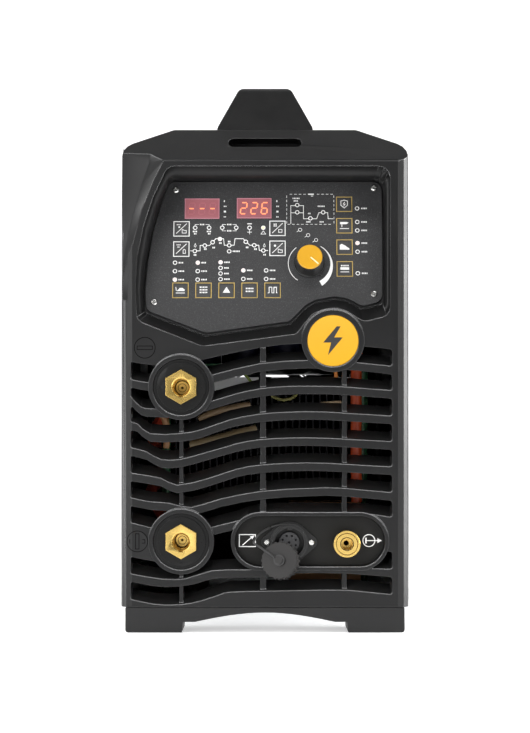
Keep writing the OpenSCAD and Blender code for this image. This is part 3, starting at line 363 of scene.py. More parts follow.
def new_geometry_tree(name, sizes):
    tree = bpy.data.node_groups.new(name, "GeometryNodeTree")
    tree.interface.new_socket(name="Geometry", in_out="OUTPUT", socket_type="NodeSocketGeometry")
    keys = {}
    for label, kind, value in sizes:
        socket = tree.interface.new_socket(name=label, in_out="INPUT", socket_type=kind)
        if value is not None:
            socket.default_value = value
        keys[label] = socket.identifier
    return tree, tree.nodes.new("NodeGroupInput"), tree.nodes.new("NodeGroupOutput"), keys


def realised(tree, start, end, instances):
    """Ends a tree: instances become mesh and take the finish given as the Finish input."""
    real = tree.nodes.new("GeometryNodeRealizeInstances")
    coat = tree.nodes.new("GeometryNodeSetMaterial")
    tree.links.new(instances, real.inputs[0])
    tree.links.new(real.outputs[0], coat.inputs["Geometry"])
    tree.links.new(start.outputs["Finish"], coat.inputs["Material"])
    tree.links.new(coat.outputs[0], end.inputs[0])


# A straight row of equal fins, set out along X from the first one.
fin_row, row_in, row_end, row_keys = new_geometry_tree("fin_row", [
    ("Count", "NodeSocketInt", 10), ("Pitch", "NodeSocketFloat", 0.008),
    ("Fin Size", "NodeSocketVector", (0.002, 0.2, 0.09)), ("Finish", "NodeSocketMaterial", None)])
row_line = fin_row.nodes.new("GeometryNodeMeshLine")
row_step = fin_row.nodes.new("ShaderNodeCombineXYZ")
row_fin = fin_row.nodes.new("GeometryNodeMeshCube")
row_place = fin_row.nodes.new("GeometryNodeInstanceOnPoints")
fin_row.links.new(row_in.outputs["Pitch"], row_step.inputs["X"])
fin_row.links.new(row_in.outputs["Count"], row_line.inputs["Count"])
fin_row.links.new(row_step.outputs[0], row_line.inputs["Offset"])
fin_row.links.new(row_in.outputs["Fin Size"], row_fin.inputs["Size"])
fin_row.links.new(row_line.outputs[0], row_place.inputs["Points"])
fin_row.links.new(row_fin.outputs[0], row_place.inputs["Instance"])
realised(fin_row, row_in, row_end, row_place.outputs[0])


def row_of_fins(name, count, pitch, size, made, place):
    piece = new_piece(name, bpy.data.meshes.new(name))
    grow = piece.modifiers.new("row", "NODES")
    grow.node_group = fin_row
    grow[row_keys["Count"]] = count
    grow[row_keys["Pitch"]] = pitch
    grow[row_keys["Fin Size"]] = size
    grow[row_keys["Finish"]] = made
    settle_modifier(piece, Matrix.Translation(place))
    return piece


sink_fins = 13
fin_thick = 0.0016
fin_foot = 0.012      # height of the solid part above the fins
slab_thick = 0.0121   # the slab runs a little into the fins, so no gap shows
slab_middle = 0.0061  # depth of the slab's middle below the top
for node in ("heatsink_left", "heatsink_right"):
    low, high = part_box(node)
    length = high[1] - low[1]
    fins = row_of_fins(node + "_fins", sink_fins, (high[0] - low[0] - fin_thick) / (sink_fins - 1),
                       (fin_thick, length, high[2] - low[2] - fin_foot), sink_metal,
                       (low[0] + fin_thick / 2, low[1] + length / 2,
                        (low[2] + high[2] - fin_foot) / 2))
    slab = bmesh.new()
    bmesh.ops.create_cube(slab, size=1.0, matrix=Matrix.Translation(
        ((low[0] + high[0]) / 2, low[1] + length / 2, high[2] - slab_middle))
        @ Matrix.Diagonal((high[0] - low[0], length, slab_thick, 1)))
    slab.from_mesh(fins.data)
    slab.to_mesh(fins.data)
    slab.free()
    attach(fins, "machine")
    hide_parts(node)


def turned_outwards(tree, start, place):
    """Turns each piece of a ring about Z by its share of the full circle."""
    index = tree.nodes.new("GeometryNodeInputIndex")
    share = maths(tree, "DIVIDE", index.outputs[0], start.outputs["Count"])
    spin = tree.nodes.new("ShaderNodeCombineXYZ")
    tree.links.new(maths(tree, "MULTIPLY", share, 2 * math.pi), spin.inputs["Z"])
    tree.links.new(spin.outputs[0], place.inputs["Rotation"])


# Ring choke: enamelled wire wound round a ferrite ring, on a plastic foot.
ring_row, ring_in, ring_end, ring_keys = new_geometry_tree("ring_of_turns", [
    ("Count", "NodeSocketInt", 24), ("Radius", "NodeSocketFloat", 0.02),
    ("Turn Radius", "NodeSocketFloat", 0.01), ("Wire Radius", "NodeSocketFloat", 0.001),
    ("Finish", "NodeSocketMaterial", None)])
ring_points = ring_row.nodes.new("GeometryNodeMeshCircle")
turn_path = ring_row.nodes.new("GeometryNodeCurvePrimitiveCircle")
turn_wire = ring_row.nodes.new("GeometryNodeCurvePrimitiveCircle")
turn_tube = ring_row.nodes.new("GeometryNodeCurveToMesh")
turn_stand = ring_row.nodes.new("GeometryNodeTransform")
turn_place = ring_row.nodes.new("GeometryNodeInstanceOnPoints")
turn_path.inputs["Resolution"].default_value = 20
turn_wire.inputs["Resolution"].default_value = 6
turn_stand.inputs["Rotation"].default_value = (math.pi / 2, 0, 0)
ring_row.links.new(ring_in.outputs["Count"], ring_points.inputs["Vertices"])
ring_row.links.new(ring_in.outputs["Radius"], ring_points.inputs["Radius"])
ring_row.links.new(ring_in.outputs["Turn Radius"], turn_path.inputs["Radius"])
ring_row.links.new(ring_in.outputs["Wire Radius"], turn_wire.inputs["Radius"])
ring_row.links.new(turn_path.outputs[0], turn_tube.inputs["Curve"])
ring_row.links.new(turn_wire.outputs[0], turn_tube.inputs["Profile Curve"])
ring_row.links.new(turn_tube.outputs[0], turn_stand.inputs["Geometry"])
ring_row.links.new(ring_points.outputs[0], turn_place.inputs["Points"])
ring_row.links.new(turn_stand.outputs[0], turn_place.inputs["Instance"])
turned_outwards(ring_row, ring_in, turn_place)
realised(ring_row, ring_in, ring_end, turn_place.outputs[0])


def ring_of_turns(name, count, radius, turn_radius, wire_radius, made, place):
    piece = new_piece(name, bpy.data.meshes.new(name))
    grow = piece.modifiers.new("turns", "NODES")
    grow.node_group = ring_row
    for label, value in (("Count", count), ("Radius", radius), ("Turn Radius", turn_radius),
                         ("Wire Radius", wire_radius), ("Finish", made)):
        grow[ring_keys[label]] = value
    settle_modifier(piece, place)
    piece.data.shade_smooth()
    return piece


choke_copper = finish("choke_copper", (0.42, 0.17, 0.06), 0.3, metal=0.6, grain=400.0, depth=0.04,
                      wear=0.0, dust=0.2)
low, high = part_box("output_choke")
choke_centre = Vector(((low[0] + high[0]) / 2, (low[1] + high[1]) / 2, high[2] - 0.035))
choke_turns = ring_of_turns("output_choke_winding", 34, 0.024, 0.0095, 0.0014, choke_copper,
                            Matrix.Translation(choke_centre)
                            @ Matrix.Rotation(math.pi / 2, 4, "Y"))
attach(choke_turns, "machine")
ferrite_grey = finish("ferrite_grey", (0.05, 0.045, 0.045), 0.6, grain=300.0, depth=0.15, dust=0.2)
paint_node("output_choke", ferrite_grey)
winding_tape = finish("winding_tape", (0.33, 0.15, 0.05), 0.45, grain=60.0, depth=0.2,
                      stretch=(1, 1, 8), tone=0.25, wear=0.0, dust=0.2)
paint_node("main_transformer", winding_tape)
can_sleeve = finish("can_sleeve", (0.02, 0.022, 0.06), 0.3, grain=80.0, depth=0.03, wear=0.1,
                    dust=0.2)
paint_node("capacitor_bank", can_sleeve)

# Wiring between the boards, seen as strands of colour behind the louvres.
# Silicone and PVC insulated strands, tied in loose bundles along the case.
# Each strand has its tint, its colour, its radius, and the points of its route in millimetres:
# across, back from the face, and up.
strand_runs = [
    ("red", (0.50, 0.06, 0.012), 0.0050, [(81, 36, 244), (80, 36, 214), (81, 37, 180),
                                          (80, 36, 150), (81, 38, 112)]),
    ("orange", (0.62, 0.20, 0.03), 0.0018, [(56, 36, 240), (61, 36, 233), (66, 40, 224),
                                            (60, 44, 214)]),
    ("rust", (0.42, 0.08, 0.03), 0.0022, [(10, 52, 150), (24, 44, 146), (42, 42, 152),
                                          (56, 50, 150), (64, 60, 140)]),
    ("green", (0.20, 0.26, 0.05), 0.0012, [(-22, 38, 228), (-14, 36, 222), (-10, 38, 214)]),
    ("olive", (0.18, 0.17, 0.05), 0.0014, [(6, 38, 206), (16, 36, 199), (26, 38, 203),
                                           (30, 44, 210)]),
    ("white", (0.42, 0.41, 0.38), 0.0008, [(-2, 40, 172), (4, 38, 168), (9, 40, 163)]),
    ("tan", (0.26, 0.19, 0.10), 0.0042, [(-66, 54, 162), (-50, 50, 166), (-28, 50, 172),
                                         (-8, 54, 177)]),
    ("tan_upper", (0.30, 0.20, 0.11), 0.0034, [(-58, 54, 186), (-46, 48, 192), (-30, 48, 196),
                                               (-14, 54, 198)]),
    ("cream", (0.48, 0.36, 0.22), 0.0012, [(38, 44, 198), (52, 38, 199), (64, 40, 202),
                                           (72, 50, 200)]),
    ("copper", (0.40, 0.20, 0.09), 0.0030, [(-98, 46, 196), (-90, 44, 190), (-84, 46, 182),
                                            (-88, 50, 160)]),
]
for tint, colour, radius, route in strand_runs:
    path = bpy.data.curves.new("strand_" + tint, "CURVE")
    path.dimensions = "3D"
    path.bevel_depth = radius
    path.bevel_resolution = 3
    path.use_fill_caps = True
    line = path.splines.new("NURBS")
    line.points.add(len(route) - 1)
    for point, (x, depth, z) in zip(line.points, route):
        point.co = (x / 1000, face_y + depth / 1000, z / 1000, 1)
    line.use_endpoint_u = True
    line.order_u = 4
    draft = bpy.data.objects.new("strand_" + tint, path)
    scene.collection.objects.link(draft)
    strand_mesh = bpy.data.meshes.new_from_object(
        draft.evaluated_get(bpy.context.evaluated_depsgraph_get()))
    bpy.data.objects.remove(draft)
    strand = new_piece("strand_" + tint, strand_mesh,
                       finish("insulation_" + tint, colour, 0.45, grain=300.0, depth=0.05,
                              wear=0.0, dust=0.1))
    strand_mesh.shade_smooth()
    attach(strand, "machine")
lead_rubber = finish("lead_rubber", (0.45, 0.05, 0.02), 0.5, grain=400.0, depth=0.05, wear=0.0)
hose_rubber = finish("hose_rubber", (0.02, 0.02, 0.02), 0.55, grain=500.0, depth=0.12, wear=0.0)
paint_node("power_leads", lead_rubber)
paint_node("gas_hoses", hose_rubber)
cast_brass = finish("cast_brass", (0.55, 0.42, 0.18), 0.42, metal=1.0, grain=300.0, depth=0.15)
paint_node("gas_valve", cast_brass)
paint_node("gas_valve_plunger", plated_steel)

# ---------------------------------------------------------------------------------------------
# Case: the sheet-steel cover and the moulded front and rear bezels that cap it.
# The cover is powder coated with a fine texture. The bezels are injection-moulded plastic in
# charcoal grey, with softened edges; the front one carries the raked louvre slats.
# ---------------------------------------------------------------------------------------------


def softened(node, name, width, made, steps=2, angle=32.0, smooth=32.0, clamp=True):
    """A copy of a CAD node with its loose triangles joined and its edges rounded over."""
    shape = bmesh.new()
    shape.from_mesh(frame["nodes"][node].data)
    bmesh.ops.remove_doubles(shape, verts=shape.verts, dist=2e-6)
    bmesh.ops.dissolve_limit(shape, angle_limit=math.radians(0.8), use_dissolve_boundaries=False,
                             verts=shape.verts, edges=shape.edges)
    mesh = bpy.data.meshes.new(name)
    shape.to_mesh(mesh)
    shape.free()
    piece = new_piece(name, mesh, made)
    mesh.shade_smooth()
    mesh.set_sharp_from_angle(angle=math.radians(smooth))
    if width:
        edge = piece.modifiers.new("edge_round", "BEVEL")
        edge.width = width
        edge.segments = steps
        edge.limit_method = "ANGLE"
        edge.angle_limit = math.radians(angle)
        edge.use_clamp_overlap = clamp
        edge.harden_normals = True
    return piece


cover_paint = finish("cover_paint", (0.028, 0.028, 0.03), 0.5, grain=1500.0, depth=0.5, tone=0.2,
                     wear=0.5, wear_and_highlight_colour=(0.3, 0.3, 0.3), dust=0.12)
cover = softened("case_cover", "case_cover_sheet", 0.0002, cover_paint, 1)
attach(cover, "machine")
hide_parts("case_cover")

# Painted highlight: the bezel's finish paints a pale line along its edges that face upwards, such as the top edges
# of the slats.
bezel_plastic = finish("bezel_plastic", (0.0105, 0.0105, 0.0108), 0.36, grain=1700.0, depth=0.12,
                       tone=0.08, wear=0.1, dust=0.02, specular=0.22,
                       wear_and_highlight_colour=(0.48, 0.48, 0.485), painted_highlight=0.9)
front_bezel = softened("front_bezel", "front_bezel_moulding", 0.00045, bezel_plastic, angle=28.0,
                       smooth=16.0, clamp=False)
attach(front_bezel, "machine")
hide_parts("front_bezel")

rear_bezel = softened("rear_bezel", "rear_bezel_moulding", 0.0005, bezel_plastic, smooth=20.0)
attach(rear_bezel, "machine")
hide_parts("rear_bezel")

foot_plastic = finish("foot_plastic", (0.011, 0.011, 0.0113), 0.45, specular=0.3, grain=1500.0,
                      depth=0.2, wear=0.5, dust=0.1)
for node in ("front_foot", "rear_foot"):
    foot = softened(node, node + "_moulding", 0.0009, foot_plastic)
    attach(foot, "machine")
    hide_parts(node)

# Carry handle: one long black moulding along the top, textured for grip, screwed from inside.
handle_plastic = finish("handle_plastic", (0.007, 0.007, 0.0073), 0.46, specular=0.3,
                        grain=1300.0, depth=0.3, wear=0.3, dust=0.05)
handle = softened("handle", "handle_moulding", 0.0016, handle_plastic, 3)
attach(handle, "machine")
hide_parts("handle")

# ---------------------------------------------------------------------------------------------
# Polarity marks beside the weld sockets: a minus and a plus, each in a circle.
# Shallow lines cut in the mould of the front bezel, drawn near-black: painted shade in the cuts.
# They follow its faceted surface.
# ---------------------------------------------------------------------------------------------


def raised_patch(shape, outline, low, high):
    """A flat shape between two heights, from its outline in millimetres."""
    lower = [shape.verts.new((x, y, low)) for x, y in outline]
    upper = [shape.verts.new((x, y, high)) for x, y in outline]
    shape.faces.new(upper)
    shape.faces.new(list(reversed(lower)))
    for k in range(len(outline)):
        n = (k + 1) % len(outline)
        shape.faces.new((lower[k], lower[n], upper[n], upper[k]))


def raised_line(shape, points, width, low, high, closed=False):
    """A line of even width along some points, mitred at its corners."""
    spots = [Vector((x, y)) for x, y in points]
    count = len(spots)
    rows = []
    for k, here in enumerate(spots):
        before = spots[k - 1] if (closed or k) else None
        after = spots[(k + 1) % count] if (closed or k < count - 1) else None
        ways = [(b - a).normalized() for a, b in ((before, here), (here, after))
                if a is not None and b is not None]
        sides = [Vector((-way.y, way.x)) for way in ways]
        side = sides[0] if len(sides) == 1 else (sides[0] + sides[1]).normalized()
        reach = width / 2 / max(0.4, side.dot(sides[0]))
        rows.append([shape.verts.new((*(here + side * reach * s), w))
                     for s, w in ((1, low), (1, high), (-1, high), (-1, low))])
    for k in range(count if closed else count - 1):
        one, two = rows[k], rows[(k + 1) % count]
        for a in range(4):
            b = (a + 1) % 4
            shape.faces.new((one[a], one[b], two[b], two[a]))
    if not closed:
        shape.faces.new(rows[0])
        shape.faces.new(list(reversed(rows[-1])))


def circle_points(x, y, radius, steps=28, first=0.0, last=360.0):
    count = steps if last - first >= 360 else steps + 1
    return [(x + radius * math.cos(math.radians(first + (last - first) * k / steps)),
             y + radius * math.sin(math.radians(first + (last - first) * k / steps)))
            for k in range(count)]


def placed(name, shape, place, *finishes):
    """Sets a shape drawn in millimetres in its place and makes a piece of it."""
    shape.transform(place @ Matrix.Scale(0.001, 4))
    bmesh.ops.recalc_face_normals(shape, faces=shape.faces)
    mesh = bpy.data.meshes.new(name)
    shape.to_mesh(mesh)
    shape.free()
    return new_piece(name, mesh, *finishes)


# Front view plane: X across, Z up, and heights measured forwards from the face.
front_view = Matrix(((1, 0, 0, 0), (0, 0, -1, face_y), (0, 1, 0, 0), (0, 0, 0, 1)))
# The marks are near-black with almost no sheen: painted shade in the cut lines.
mark_groove_shade = finish("mark_groove_shade", (0.001, 0.001, 0.001), 0.8, specular=0.02, wear=0.0, dust=0.0)
skin_of_bezel = BVHTree.FromPolygons(
    [v.co.copy() for v in frame["nodes"]["front_bezel"].data.vertices],
    [list(p.vertices) for p in frame["nodes"]["front_bezel"].data.polygons])
ring_radius, bar_reach, bar_half = 9.0, 6.6, 1.5
mark_low, mark_high = -0.25, 0.1
for sign, mark_x, mark_z in (("minus", -104.0, 246.5), ("plus", -110.5, 79.0)):
    shape = bmesh.new()
    raised_line(shape, circle_points(mark_x, mark_z, ring_radius, 40), 0.55, mark_low, mark_high,
                True)
    bars = [(bar_reach, bar_half)]
    if sign == "plus":
        bars.append((bar_half, bar_reach))
    for wide, tall in bars:
        raised_line(shape, [(mark_x - wide, mark_z - tall), (mark_x + wide, mark_z - tall),
                            (mark_x + wide, mark_z + tall), (mark_x - wide, mark_z + tall)],
                    0.5, mark_low, mark_high, True)
    mark = placed("mark_" + sign, shape, front_view, mark_groove_shade)
    for corner in mark.data.vertices:
        hit = skin_of_bezel.ray_cast(Vector((corner.co.x, face_y - 0.05, corner.co.z)),
                                     Vector((0, 1, 0)))[0]
        if hit and hit.y < face_y + 0.02:
            corner.co.y += hit.y - face_y
    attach(mark, "machine")

# ---------------------------------------------------------------------------------------------
# Weld sockets: a brass contact with a hexagonal nose in a round insulator.
# The insulators are glass-filled nylon, moulded black, and are locked into the bezel's rings.
# ---------------------------------------------------------------------------------------------
body_of_node = {node: body for body, nodes in frame["record"]["behaviour"]["bodies"].items()
                for node in nodes}


def stand_in(node, width, made, steps=2, smooth=32.0):
    """Stands a softened copy in for its CAD node, on the same body, and hides the node."""
    piece = softened(node, node + "_made", width, made, steps, smooth=smooth)
    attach(piece, body_of_node[node])
    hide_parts(node)
    return piece


insulator_black = finish("insulator_black", (0.004, 0.004, 0.004), 0.36, grain=1300.0, depth=0.1,
                         wear=0.3, dust=0.03, specular=0.22)
polished_brass = finish("polished_brass", (0.72, 0.50, 0.15), 0.26, metal=1.0, grain=500.0,
                        depth=0.05, stretch=(0.2, 1, 1), tone=0.08, wear=0.0, dust=0.05)
for pole in ("negative", "positive"):
    stand_in(pole + "_socket_body", 0.0006, insulator_black, 3)
    stand_in(pole + "_socket_contact", 0.0005, polished_brass, 3)

# Painted shade: dark rings and a dark centre on the floor of each socket's bore, standing in
# for the shaded gaps and grooves turned into the brass.
groove_shade = finish("groove_shade", (0.06, 0.035, 0.008), 0.45, metal=0.8, wear=0.0, dust=0.0)
ring_low = -0.1
bore_floor = 0.025
for pole in ("negative", "positive"):
    low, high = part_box(pole + "_socket_contact")
    at_x, at_z = (low[0] + high[0]) * 500, (low[2] + high[2]) * 500
    shape = bmesh.new()
    for radius, width, steps in ((6.1, 0.9, 32), (3.6, 0.45, 28)):
        raised_line(shape, circle_points(at_x, at_z, radius, steps), width, ring_low, 0.08, True)
    raised_patch(shape, circle_points(at_x, at_z, 1.2, 16), ring_low, 0.08)
    rings = placed(pole + "_contact_rings", shape, Matrix.Translation((0, bore_floor, 0))
                   @ front_view, groove_shade)
    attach(rings, "machine")

# ---------------------------------------------------------------------------------------------
# Connector plate: black printed plate behind the pill-shaped window, with a remote-control
# socket held by two screws and a brass gas outlet. The pictograms are screen printed in white.
# ---------------------------------------------------------------------------------------------
plate_black = finish("plate_black", (0.0035, 0.0033, 0.0026), 0.5, grain=1500.0, depth=0.12,
                     wear=0.1, dust=0.03, specular=0.25)
white_ink = finish("white_ink", (0.80, 0.80, 0.79), 0.5, grain=900.0, depth=0.08, tone=0.05,
                   wear=0.0, dust=0.0)
stand_in("connector_plate", 0.0003, plate_black)
plate_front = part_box("connector_plate")[0][1]
plate_view = Matrix.Translation((0, plate_front - face_y, 0)) @ front_view
ink_low, ink_high = -0.05, 0.12
print_line = 0.75
shape = bmesh.new()
raised_line(shape, [(-22.3, 74.2), (-8.3, 74.2), (-8.3, 84.6), (-22.3, 84.6)], print_line,
            ink_low, ink_high, True)
raised_line(shape, [(-19.6, 75.4), (-11.6, 82.3)], print_line, ink_low, ink_high)
raised_patch(shape, [(-9.2, 84.0), (-13.1, 82.9), (-11.0, 80.5)], ink_low, ink_high + 0.01)
raised_line(shape, circle_points(90.2, 79.4, 5.2), print_line, ink_low, ink_high, True)
raised_patch(shape, [(87.0, 76.9), (88.3, 76.9), (88.3, 81.9), (87.0, 81.9)], ink_low, ink_high)
raised_line(shape, [(88.3, 79.4), (98.2, 79.4)], print_line, ink_low, ink_high + 0.01)
raised_patch(shape, [(97.6, 77.3), (101.6, 79.4), (97.6, 81.5)], ink_low, ink_high)
pictograms = placed("connector_plate_print", shape, plate_view, white_ink)
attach(pictograms, "machine")

socket_black = finish("socket_black", (0.006, 0.006, 0.006), 0.33, grain=1200.0, depth=0.1,
                      wear=0.3, dust=0.03, specular=0.4)
insert_grey = finish("insert_grey", (0.032, 0.032, 0.034), 0.5, grain=900.0, depth=0.1, wear=0.2)
chromed = finish("chromed", (0.75, 0.75, 0.73), 0.2, metal=1.0, grain=300.0, depth=0.03,
                 tone=0.08, wear=0.0, dust=0.1)
stand_in("remote_socket", 0.0004, socket_black)
stand_in("remote_socket_insert", 0.0002, insert_grey)
stand_in("remote_socket_screws", 0.0002, chromed)
stand_in("gas_outlet", 0.0005, polished_brass, 3)
low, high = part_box("gas_outlet")
outlet_x, outlet_z = (low[0] + high[0]) * 500, (low[2] + high[2]) * 500
# Painted shade: two dark rings on the front of the gas outlet stand in for the shade in its grooves.
shape = bmesh.new()
for radius, width, steps in ((9.2, 0.3, 36), (5.6, 0.75, 32)):
    raised_line(shape, circle_points(outlet_x, outlet_z, radius, steps), width, ring_low, 0.06,
                True)
rings = placed("gas_outlet_rings", shape, Matrix.Translation((0, low[1] - face_y, 0))
               @ front_view, groove_shade)
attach(rings, "machine")

# Dust cap and its tether: a moulded screw cap held by a soft strap that is looped round the
# socket. Ribs run round the cap's rim for grip.
cap_grey = finish("cap_grey", (0.013, 0.012, 0.0117), 0.5, grain=1100.0, depth=0.18, wear=0.3,
                  dust=0.03, specular=0.35)
tether_rubber = finish("tether_rubber", (0.02, 0.02, 0.02), 0.5, grain=900.0, depth=0.1, wear=0.0)
stand_in("dust_cap", 0.0004, cap_grey, 3)
stand_in("cap_tether", 0, tether_rubber, smooth=50.0)

# ---------------------------------------------------------------------------------------------
# Control panel: a polyester film on a steel plate, in speckled dark grey, printed in white.
# It leans back in the recess of the bezel and is held by four screws.
# ---------------------------------------------------------------------------------------------
panel_film = finish("panel_film", (0.030, 0.030, 0.031), 0.5, grain=1300.0, depth=0.3, tone=0.03,
                    wear=0.0, dust=0.0, fleck=0.4, specular=0.3,
                    fleck_colour=(0.16, 0.16, 0.165))
stand_in("control_panel", 0.0003, panel_film)
stand_in("panel_screws", 0.0002, chromed)

joints = {joint["name"]: joint for joint in frame["joints"]}
panel_out = Vector(joints["knob_spin"]["axis"]).normalized()
panel_up = panel_out.cross(Vector((1, 0, 0)))
knob_spot = Vector(joints["knob_spin"]["pos_m"])
film_level = max(v.co.dot(panel_out) for v in frame["nodes"]["control_panel"].data.vertices)
panel_zero = (panel_up * (knob_spot.dot(panel_up) - 0.0637) + panel_out * film_level)
panel_view = Matrix.Translation(panel_zero) @ Matrix(
    ((1, 0, 0, 0), (0, panel_up.y, panel_out.y, 0), (0, panel_up.z, panel_out.z, 0), (0, 0, 0, 1)))
panel_view_back = panel_view.inverted()

# Display windows: tinted acrylic over lit segments.
window_red = finish("window_red", (0.26, 0.105, 0.12), 0.24, grain=200.0, depth=0.01, tone=0.08,
                    wear=0.0, dust=0.05, glow=((0.55, 0.10, 0.12), 0.16))
segment_light = finish("segment_light", (0.9, 0.25, 0.1), 0.5, wear=0.0, dust=0.0,
                       glow=((1.0, 0.28, 0.12), 0.9))
segment_dim = finish("segment_dim", (0.36, 0.10, 0.12), 0.5, wear=0.0, dust=0.0)
window_rim = finish("window_rim", (0.52, 0.22, 0.27), 0.4, grain=600.0, depth=0.05, wear=0.0,
                    dust=0.0)
stand_in("display_windows", 0.0003, window_red)


def seven_segments(shape, u, v, width, height, lit):
    """One figure of a display, leaning to the right, with some of its seven bars."""
    half = height / 2
    ends = {"a": ((0, half), (1, half)), "b": ((1, half), (1, 0)), "c": ((1, 0), (1, -half)),
            "d": ((0, -half), (1, -half)), "e": ((0, 0), (0, -half)), "f": ((0, half), (0, 0)),
            "g": ((0, 0), (1, 0))}
    for bar in lit:
        one, two = [Vector((u + (x - 0.5) * width + y * 0.12, v + y)) for x, y in ends[bar]]
        trim = (two - one).normalized() * 0.55
        raised_line(shape, [one + trim, two - trim], 1.05, 0.2, 0.38)


lit_shape, dim_shape, rim_shape = bmesh.new(), bmesh.new(), bmesh.new()
for centre, figures in (((-55.6, 114.7), ("g", "g", "g")),
                        ((-9.6, 115.1), ("abged", "abged", "afgedc"))):
    for k, lit in enumerate(figures):
        seven_segments(lit_shape, centre[0] + (k - 1) * 9.2, centre[1], 5.0, 10.4, lit)
        seven_segments(dim_shape, centre[0] + (k - 1) * 9.2, centre[1], 5.0, 10.4,
                       "".join(bar for bar in "abcdefg" if bar not in lit))
    raised_line(rim_shape, [(centre[0] + sx * 15.0, centre[1] + sy * 9.1)
                            for sx, sy in ((-1, -1), (1, -1), (1, 1), (-1, 1))],
                0.6, 0.2, 0.42, True)
for name, shape, made in (("display_figures", lit_shape, segment_light),
                          ("display_unlit_bars", dim_shape, segment_dim),
                          ("display_rims", rim_shape, window_rim)):
    piece = placed(name, shape, panel_view, made)
    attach(piece, "machine")

# Indicator lamps: small domed lenses in printed white rings, set out on the film.
# A few are lit, in pink or yellow.
lamp_shape = bmesh.new()
lamp_shape.from_mesh(frame["nodes"]["indicator_leds"].data)
bmesh.ops.remove_doubles(lamp_shape, verts=lamp_shape.verts, dist=2e-6)
lamp_spots = []
waiting = set(lamp_shape.verts)
while waiting:
    island, reach = set(), [waiting.pop()]
    while reach:
        corner = reach.pop()
        island.add(corner)
        for edge in corner.link_edges:
            other = edge.other_vert(corner)
            if other in waiting:
                waiting.discard(other)
                reach.append(other)
    middle = sum((corner.co for corner in island), Vector()) / len(island)
    spot = panel_view_back @ middle * 1000
    lamp_spots.append((round(spot.x, 2), round(spot.y, 2)))
lamp_shape.free()
lamp_spots.sort()

set_out, set_in, set_end, set_keys = new_geometry_tree("set_out_lamps", [
    ("Radius", "NodeSocketFloat", 0.0013), ("Crown", "NodeSocketFloat", 0.3),
    ("Finish", "NodeSocketMaterial", None)])
spots_socket = set_out.interface.new_socket(name="Spots", in_out="INPUT",
                                            socket_type="NodeSocketGeometry")
set_out.interface.move(spots_socket, 0)
lens = set_out.nodes.new("GeometryNodeMeshUVSphere")
lens.inputs["Segments"].default_value = 20
lens.inputs["Rings"].default_value = 10
lens_squash = set_out.nodes.new("ShaderNodeCombineXYZ")
lens_squash.inputs["X"].default_value = 1.0
lens_squash.inputs["Y"].default_value = 1.0
lens_place = set_out.nodes.new("GeometryNodeInstanceOnPoints")
set_out.links.new(set_in.outputs["Radius"], lens.inputs["Radius"])
set_out.links.new(set_in.outputs["Crown"], lens_squash.inputs["Z"])
set_out.links.new(set_in.outputs["Spots"], lens_place.inputs["Points"])
set_out.links.new(lens.outputs[0], lens_place.inputs["Instance"])
set_out.links.new(lens_squash.outputs[0], lens_place.inputs["Scale"])
realised(set_out, set_in, set_end, lens_place.outputs[0])

lens_clear = finish("lens_clear", (0.05, 0.05, 0.052), 0.25, wear=0.0, dust=0.0, tone=0.05)
lens_pink = finish("lens_pink", (0.95, 0.45, 0.42), 0.3, wear=0.0, dust=0.0,
                   glow=((1.0, 0.42, 0.38), 0.75))
lens_yellow = finish("lens_yellow", (0.95, 0.75, 0.3), 0.3, wear=0.0, dust=0.0,
                     glow=((1.0, 0.75, 0.3), 0.6))
pink_near = [(-79, 48.8), (-59, 64.4), (-39, 64.8), (-19, 57.3), (-39.7, 86.4), (81.4, 82.6)]
yellow_near = [(-1.5, 96.9)]


def is_near(spot, places):
    return any(math.dist(spot, place) < 2.2 for place in places)


pink_spots = [spot for spot in lamp_spots if is_near(spot, pink_near)]
yellow_spots = [spot for spot in lamp_spots if is_near(spot, yellow_near)]
dark_spots = [spot for spot in lamp_spots if spot not in pink_spots + yellow_spots]
for name, spots, made in (("lamps_dark", dark_spots, lens_clear),
                          ("lamps_pink", pink_spots, lens_pink),
                          ("lamps_yellow", yellow_spots, lens_yellow)):
    points = bpy.data.meshes.new(name)
    points.from_pydata([(u / 1000, v / 1000, 0.0001) for u, v in spots], [], [])
    lamps = new_piece(name, points)
    grow = lamps.modifiers.new("set_out", "NODES")
    grow.node_group = set_out
    for label, value in (("Radius", 0.00122), ("Crown", 0.28), ("Finish", made)):
        grow[set_keys[label]] = value
    settle_modifier(lamps, panel_view)
    lamps.data.shade_smooth()
    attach(lamps, "machine")
    if name == "lamps_dark":
        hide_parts("indicator_leds")

# Panel print: rings round the lamps, the weld-cycle line, key frames and plain label bars.
# It is one coat of white ink on the film, and one of gold for the frames of the main keys.
white, gold = bmesh.new(), bmesh.new()


def label(shape, u, v, widths, tall=1.3, low=ink_low, high=ink_high):
    """A plain label: a row of short blocks, starting at u and centred on v."""
    for width in widths:
        raised_patch(shape, [(u, v - tall / 2), (u + width, v - tall / 2),
                             (u + width, v + tall / 2), (u, v + tall / 2)], low, high)
        u += width + 0.42


def stroke(points, width=0.5, closed=False):
    raised_line(white, points, width, ink_low, ink_high + 0.01, closed)


